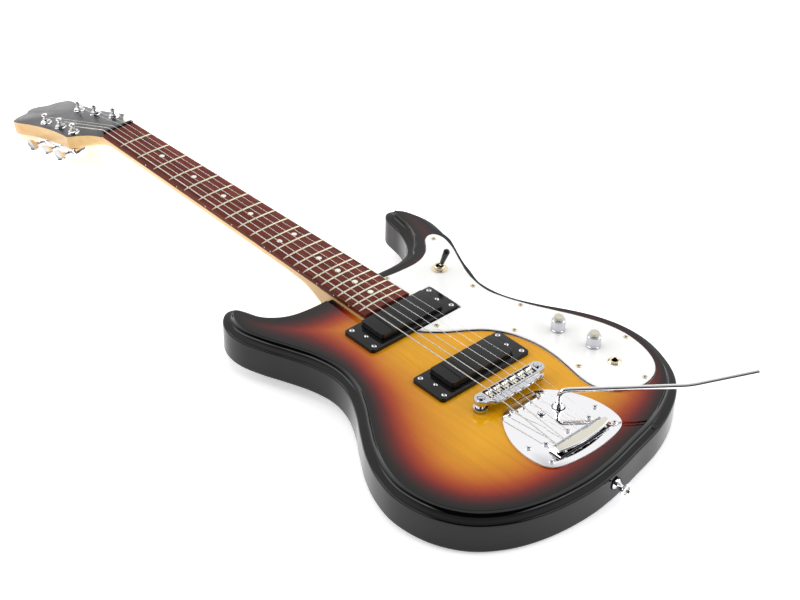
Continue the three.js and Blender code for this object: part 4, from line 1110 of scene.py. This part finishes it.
def make_vibrato(mats):
    skin = TOP + 1.8
    left = [(-x, y) for x, y in VIBRATO_HALF[-2:0:-1]]
    outline = smooth_loop(VIBRATO_HALF + left, 180)
    sheet = slab(outline, [(0.25, TOP + 0.02), (0, TOP + 0.3), (0, skin - 0.55), (0.2, skin - 0.18),
                           (0.6, skin)])
    made = bpy.data.objects.new("vibrato_cover", mesh_from("vibrato_cover", sheet, [mats["chrome"]]))
    scene.collection.objects.link(made)
    holes = lathe([(0, TOP - 1), (6.6, TOP - 1), (6.6, TOP + 4), (0, TOP + 4)], 48).at(*ARM_POST)
    holes.add(slab(round_rect(56, 7.4, 1, 0, -86.7), [(0, TOP - 1), (0, TOP + 4)]))
    holes.add(lathe([(0, TOP - 1), (3.6, TOP - 1), (3.6, TOP + 4), (0, TOP + 4)], 32).at(0, -44))
    finish_shading(boolean(made, holes), 30)
    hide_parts("vibrato_plate")
    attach(made, "guitar")
    heads = Geo()
    for i, (x, y, r) in enumerate(((18.1, -23.9, 3.1), (44, -70.4, 3.1), (41.4, -96.7, 3.1))):
        for sx in (-1, 1):
            heads.add(screw(r, 1.1, turn=0.6 * i + sx).at(sx * x, y, skin))
    for i, x in enumerate((-28.5, 0, 28.5)):
        heads.add(screw(3.4, 1.3, turn=0.9 * i).at(x, -77, skin))
    piece("vibrato_screws", heads, [mats["chrome"], mats["recess_shade"]])
    adjuster = lathe([(0, TOP - 9), (2.7, TOP - 9), (2.7, skin + 0.6), (3.1, skin + 0.7), (3.3, skin + 1.1),
                      (3.3, skin + 2.3), (3.0, skin + 2.8), (1.9, skin + 2.9),
                      (1.6, skin + 2.0), (0, skin + 2.0)], 48)
    piece("vibrato_adjuster", adjuster.at(0, -44), mats["chrome"], "vibrato_rocker", "vibrato_rocker")
    front, rear, half = -91.0, -99.6, 33.0
    rings = []
    for x in np.linspace(-half, half, 25):
        lip = 10.4 - 4.6 * (x / half) ** 2
        rings.append([(x, y, skin + z) for y, z in (
            (-85.2, 1.4), (-85.2, 4.2), (front + 1.4, 4.5), (front + 0.5, 5.1), (front, 8.0),
            (front - 0.3, 8.6),
            (front - 0.9, 8.9), (front - lip + 1.2, 8.1), (front - lip + 0.3, 7.8), (front - lip, 7.3),
            (front - lip, 6.3), (front - lip + 0.4, 5.9),
            (front - 4.2, 6.6), (front - 3.6, 6.2), (front - 3.4, 3.0), (front - 4, 2.7), (rear + 0.3, 2.5),
            (rear, 2.2),
            (rear, 1.7), (rear + 0.3, 1.4))])
    channel = sections(rings)
    count = len(rings[0])
    # face 6 of each section is the bar's top in the brushed metal; faces 10 to 17 line the slot and take the
    # dark metal, painted shade in the slot
    bar_face_and_slot_shade = {6: 1, **{k: 2 for k in range(10, 18)}}
    channel.mats = [bar_face_and_slot_shade.get(i % count, 0) if i < count * 24 else 0 for i in range(len(channel.faces))]
    bar = bpy.data.objects.new("string_anchor", mesh_from("string_anchor", channel,
                                                              [mats["chrome"], mats["bar"], mats["recess_shade"]]))
    scene.collection.objects.link(bar)
    holes = Geo()
    for number in range(1, 7):
        x = string_x(number, 10.4)
        holes.add(tube([(x, -88, TOP + 7.6), (x, -97, TOP + 6.7)], 1.3, 16))
    finish_shading(boolean(bar, holes), 25)
    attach(bar, "vibrato_rocker")
    arms = box(-27, 27, -88.6, -40, TOP - 5.4, TOP - 2, 0.4).add(box(-27, 27, -88.6, -85.2, TOP - 4,
        skin + 4.4, 0.4))
    piece("rocker_tongue", arms, mats["steel"], "vibrato_rocker")
    collar = lathe([(2.75, TOP - 5), (5.2, TOP - 5), (5.2, skin + 0.4), (5.6, skin + 0.5),
                    (5.6, skin + 3.0), (5.1, skin + 3.6),
                    (3.4, skin + 3.7), (3.3, skin + 4.8), (2.9, skin + 5.3), (2.75, skin + 5.1),
                    (2.75, TOP - 5)], 64)
    piece("arm_collar", collar.at(*ARM_POST), mats["chrome"], "vibrato_rocker")
    grommet = lathe([(5.25, TOP + 0.4), (6.2, TOP + 0.4), (6.2, skin + 0.3), (5.9, skin + 0.9),
                     (5.25, skin + 0.9),
                     (5.25, TOP + 0.4)], 48)
    piece("arm_grommet", grommet.at(*ARM_POST), mats["black"])
    balls = Geo()
    for number in range(1, 7):
        ball = lathe([(0.9, -1.6), (1.6, -1.7), (1.9, -1.4), (1.55, -0.7), (1.45, 0), (1.55, 0.7),
                      (1.9, 1.4), (1.6, 1.7), (0.9, 1.6),
                      (0.9, -1.6)], 24)
        turn = Matrix.Translation((string_x(number, 10.4), -97.6, TOP + 6.5)) @ Matrix.Rotation(radians(90),
            4, "Y")
        balls.add(ball.moved(turn))
    piece("string_ball_ends", balls, mats["brass"], "vibrato_rocker")
    make_arm(mats)
    coil = [(5.2 * cos(a), -44 + 5.2 * sin(a), 23.2 + 8.2 * a / (9 * pi)) for a in np.linspace(0, 9 * pi,
        150)]
    piece("vibrato_coil", tube(coil, 0.8, 10), mats["steel"], node="vibrato_spring")


def make_arm(mats):
    x, y = ARM_POST
    z = TOP + ARM_HEIGHT
    heading = Vector((cos(ARM_HEADING), sin(ARM_HEADING), 0))
    at = lambda run, rise: Vector((x, y, z + rise)) + heading * run
    corners = [Vector((x, y, TOP - 4)), Vector((x, y, z)), at(121, 0.3), at(183, 14.4)]
    path = bend_points(corners, 7.5, 10)
    rod = tube(path, 2.4, 28)
    cap = lathe([(0, -1.0), (2.4, -1.0), (2.45, 0.0), (2.1, 0.9), (1.2, 1.35), (0, 1.45)], 28)
    aim = (corners[-1] - corners[-2]).to_track_quat("Z", "Y").to_matrix().to_4x4()
    rod.add(cap.moved(Matrix.Translation(corners[-1]) @ aim))
    piece("vibrato_bar", rod, mats["chrome"], "vibrato_arm", "vibrato_arm", angle=40)


# ------------------------------------------------------------------ strap buttons
def make_strap_buttons(mats):
    profile = [(0, 0.9), (5.2, 0.9), (5.3, 1.3), (4.0, 2.6), (3.4, 4.2), (3.2, 7.4), (3.5, 9.4),
               (4.8, 10.8), (6.5, 11.5), (6.95, 12.0),
               (6.9, 12.9), (6.5, 13.5), (5.6, 13.9), (4.7, 13.9), (4.3, 13.5), (4.1, 12.4), (0, 12.4)]
    felt = lathe([(0, 0.1), (6.3, 0.1), (6.5, 0.4), (6.4, 0.95), (0, 1.0)], 40)
    places = {"tail": Matrix.Translation((0, -137.9, 20)) @ Matrix.Rotation(radians(90), 4, "X"),
              "horn": Matrix.Translation((-105, 274.5, 14)) @ Matrix.Rotation(radians(-41.7), 4, "Z")
              @ Matrix.Rotation(radians(-90), 4, "X")}
    for name, place in places.items():
        piece(f"strap_knob_{name}", lathe(profile, 56), mats["chrome"], node=f"strap_button_{name}",
              matrix=place)
        piece(f"strap_felt_{name}", felt, mats["felt"], matrix=place)
        piece(f"strap_recess_{name}", lathe([(0, 12.35), (4.15, 12.35), (4.15, 12.5), (0, 12.5)], 40),
              mats["steel"], matrix=place)
        piece(f"strap_screw_{name}", screw(3.0, 1.0).at(0, 0, 12.4), [mats["satin"], mats["recess_shade"]],
              matrix=place)


# ------------------------------------------------------------------ tuners
BUTTON_TURNS = {(-1, 1): 0.5, (-1, 2): 0.35, (-1, 3): 0.6, (1, 1): 0.4, (1, 2): 0.3, (1, 3): 0.8}


def make_tuners(mats):
    for side, number, t, x in TUNERS:
        name = f"{'bass' if side < 0 else 'treble'}_{number}"
        x0, x1 = (x - 8, x + 10) if side > 0 else (x - 10, x + 8)
        case = slab(round_rect(x1 - x0, 21, 3, (x0 + x1) / 2, t + 2.5), soft(-29.9, -16.3, 2.2, 2.2))
        case.add(lathe([(0, -30.4), (3.2, -30.4), (4.2, -30.1), (4.4, -29.6), (0, -29.5)], 32).at(x, t))
        case.add(lathe([(0, 0), (3.4, 0), (3.4, 1.6), (2.9, 2.2), (0, 2.2)], 32).moved(
            Matrix.Translation((x + side * 9.6, t + WORM_OFFSET,
                                WORM_LEVEL)) @ Matrix.Rotation(radians(90 * side), 4, "Y")))
        case.add(lathe([(0, -17), (4.7, -17), (4.7, 0.5), (0, 0.5)], 32).at(x, t))
        washer = lathe([(4.6, 0.05), (6.9, 0.05), (7.0, 0.3), (6.8, 0.8), (6.2, 1.0), (4.6, 1.0),
                        (4.6, 0.05)], 48)
        hexagon = [(6.1 * cos(radians(60 * k + 17 * number)),
                    6.1 * sin(radians(60 * k + 17 * number))) for k in range(6)]
        nut = slab(hexagon, [(0.3, 0.9), (0, 1.2), (0, 2.9), (0.5, 3.5)])
        case.add(washer.at(x, t)).add(nut.at(x, t))
        piece(f"tuner_case_{name}", case, mats["chrome"], node=f"tuner_housing_{name}", matrix=HEAD, angle=30)
        post = lathe([(0, WORM_LEVEL - 2.2), (5.3, WORM_LEVEL - 2.2), (5.3, WORM_LEVEL + 2.2),
                      (3, WORM_LEVEL + 2.2), (3.2, 4.4), (2.9, 5.2),
                      (2.5, 6.2), (2.5, 7.6), (2.9, 8.4), (3.4, 9.0), (3.5, 10.4), (3.1, 11.2), (2.2, 11.5),
                      (0, 11.45)], 36)
        piece(f"tuner_string_post_{name}", post, mats["chrome"], f"tuner_post_{name}", f"tuner_post_{name}",
              matrix=HEAD @ Matrix.Translation((x, t, 0)))
        oval = [(6.4 * math.copysign(abs(cos(a)) ** 0.8, cos(a)),
                 9 * math.copysign(abs(sin(a)) ** 0.8, sin(a)))
                for a in np.linspace(0, 2 * pi, 56, endpoint=False)]
        grip = slab(oval, [(3.0, -3.1), (1.6, -2.9), (0.6, -2.2), (0.1, -1.0), (0, 0), (0.1, 1.0),
                           (0.6, 2.2), (1.6, 2.9), (3.0, 3.1)])
        grip = grip.at(side * 21.6, 0)
        spindle = tube([(-side * 6, 0, 0), (side * 16.5, 0, 0)], 2.0, 20)
        sleeve = tube([(side * 12.6, 0, 0), (side * 14.2, 0, 0), (side * 16.4, 0, 0)], [2.3, 3.0, 2.6], 20)
        turn = Matrix.Rotation(BUTTON_TURNS[side, number], 4, "X")
        place = HEAD @ Matrix.Translation((x, t + WORM_OFFSET, WORM_LEVEL)) @ turn
        piece(f"tuner_grip_{name}", grip.add(spindle).add(sleeve), mats["chrome"], f"tuner_button_{name}",
              f"tuner_button_{name}", matrix=place, angle=40)


# ------------------------------------------------------------------ strings
GAUGES = [0.28, 0.36, 0.46, 0.66, 0.91, 1.17]


def make_strings(mats):
    posts = {(side, number): (t, x) for side, number, t, x in TUNERS}
    order = [(1, 1), (1, 2), (1, 3), (-1, 3), (-1, 2), (-1, 1)]
    for number, (gauge, key) in enumerate(zip(GAUGES, order), 1):
        side, place = key
        t, x = posts[key]
        radius = gauge / 2
        bridge_x, nut_x = string_x(number, 10.4), string_x(number, 7.1)
        anchor = Vector((bridge_x, -97.2, TOP + 6.6))
        saddle = Vector((bridge_x, BRIDGE_Y + 1.6, TOP + 16.4))
        nut = NECK @ Vector((nut_x, SCALE_LENGTH + 0.4, 1.3))
        behind = NECK @ Vector((nut_x, 634.0, 1.2))
        end = HEAD @ Vector((x - side * (2.5 + radius), t + 1.5, 6.4))
        path = bend_points([anchor, saddle, nut, behind, end], 2.0, 4)
        material = mats["wound"] if number > 3 else mats["wire"]
        piece(f"string_line_{number}", tube(path, radius, 10), material, node=f"string_{number}", angle=50)
        label = f"{'bass' if side < 0 else 'treble'}_{place}"
        turns, sign = 3.2, 1 if side > 0 else -1
        coil = []
        for k in range(70):
            a = pi * (1 if side > 0 else 0) + sign * 2 * pi * turns * k / 69
            reach = 2.5 + radius + 0.25 * sin(pi * k / 69)
            coil.append((x + reach * cos(a), t + reach * sin(a) + 1.5 * (1 - min(1, k / 8)),
                         6.4 - (gauge + 0.04) * turns * k / 69 * 0.8))
        winding = tube(coil, radius, 8)
        piece(f"string_winding_{label}", winding, material, f"tuner_post_{label}", matrix=HEAD, angle=50)


# ------------------------------------------------------------------ the studio
def make_floor():
    m = Material("studio_floor", "", linear(245, 245, 247), 0.6, Specular_IOR_Level=0.1,
                 Emission_Color=(1, 1, 1, 1), Emission_Strength=0.5)
    m.rough(3.0, 0.55, 0.7)
    slope, size = math.tan(radians(1.85)), 6.0
    mesh = bpy.data.meshes.new("floor")
    corners = [(x, y, -slope * (y + 0.139) - 0.0004) for x, y in ((-size, -size), (size, -size),
        (size, size), (-size, size))]
    mesh.from_pydata(corners, [], [(0, 1, 2, 3)])
    mesh.materials.append(m.mat)
    floor = bpy.data.objects.new("floor", mesh)
    scene.collection.objects.link(floor)


make_camera()
make_world()
make_light("fill", (0.3, 0.5, 2.6), (0, 0.2, 0), 1.08, (2.4, 2.4))
make_floor()
MATERIALS = make_materials()
make_body(MATERIALS)
make_neck(MATERIALS)
make_fingerboard(MATERIALS)
make_nut(MATERIALS)
make_neck_plate(MATERIALS)
make_pickguard(MATERIALS)
make_pickups(MATERIALS)
make_controls(MATERIALS)
make_bridge(MATERIALS)
make_vibrato(MATERIALS)
make_strap_buttons(MATERIALS)
make_tuners(MATERIALS)
make_strings(MATERIALS)
keep("truss_rod", MATERIALS["steel"])
scene.view_settings.view_transform = "Standard"
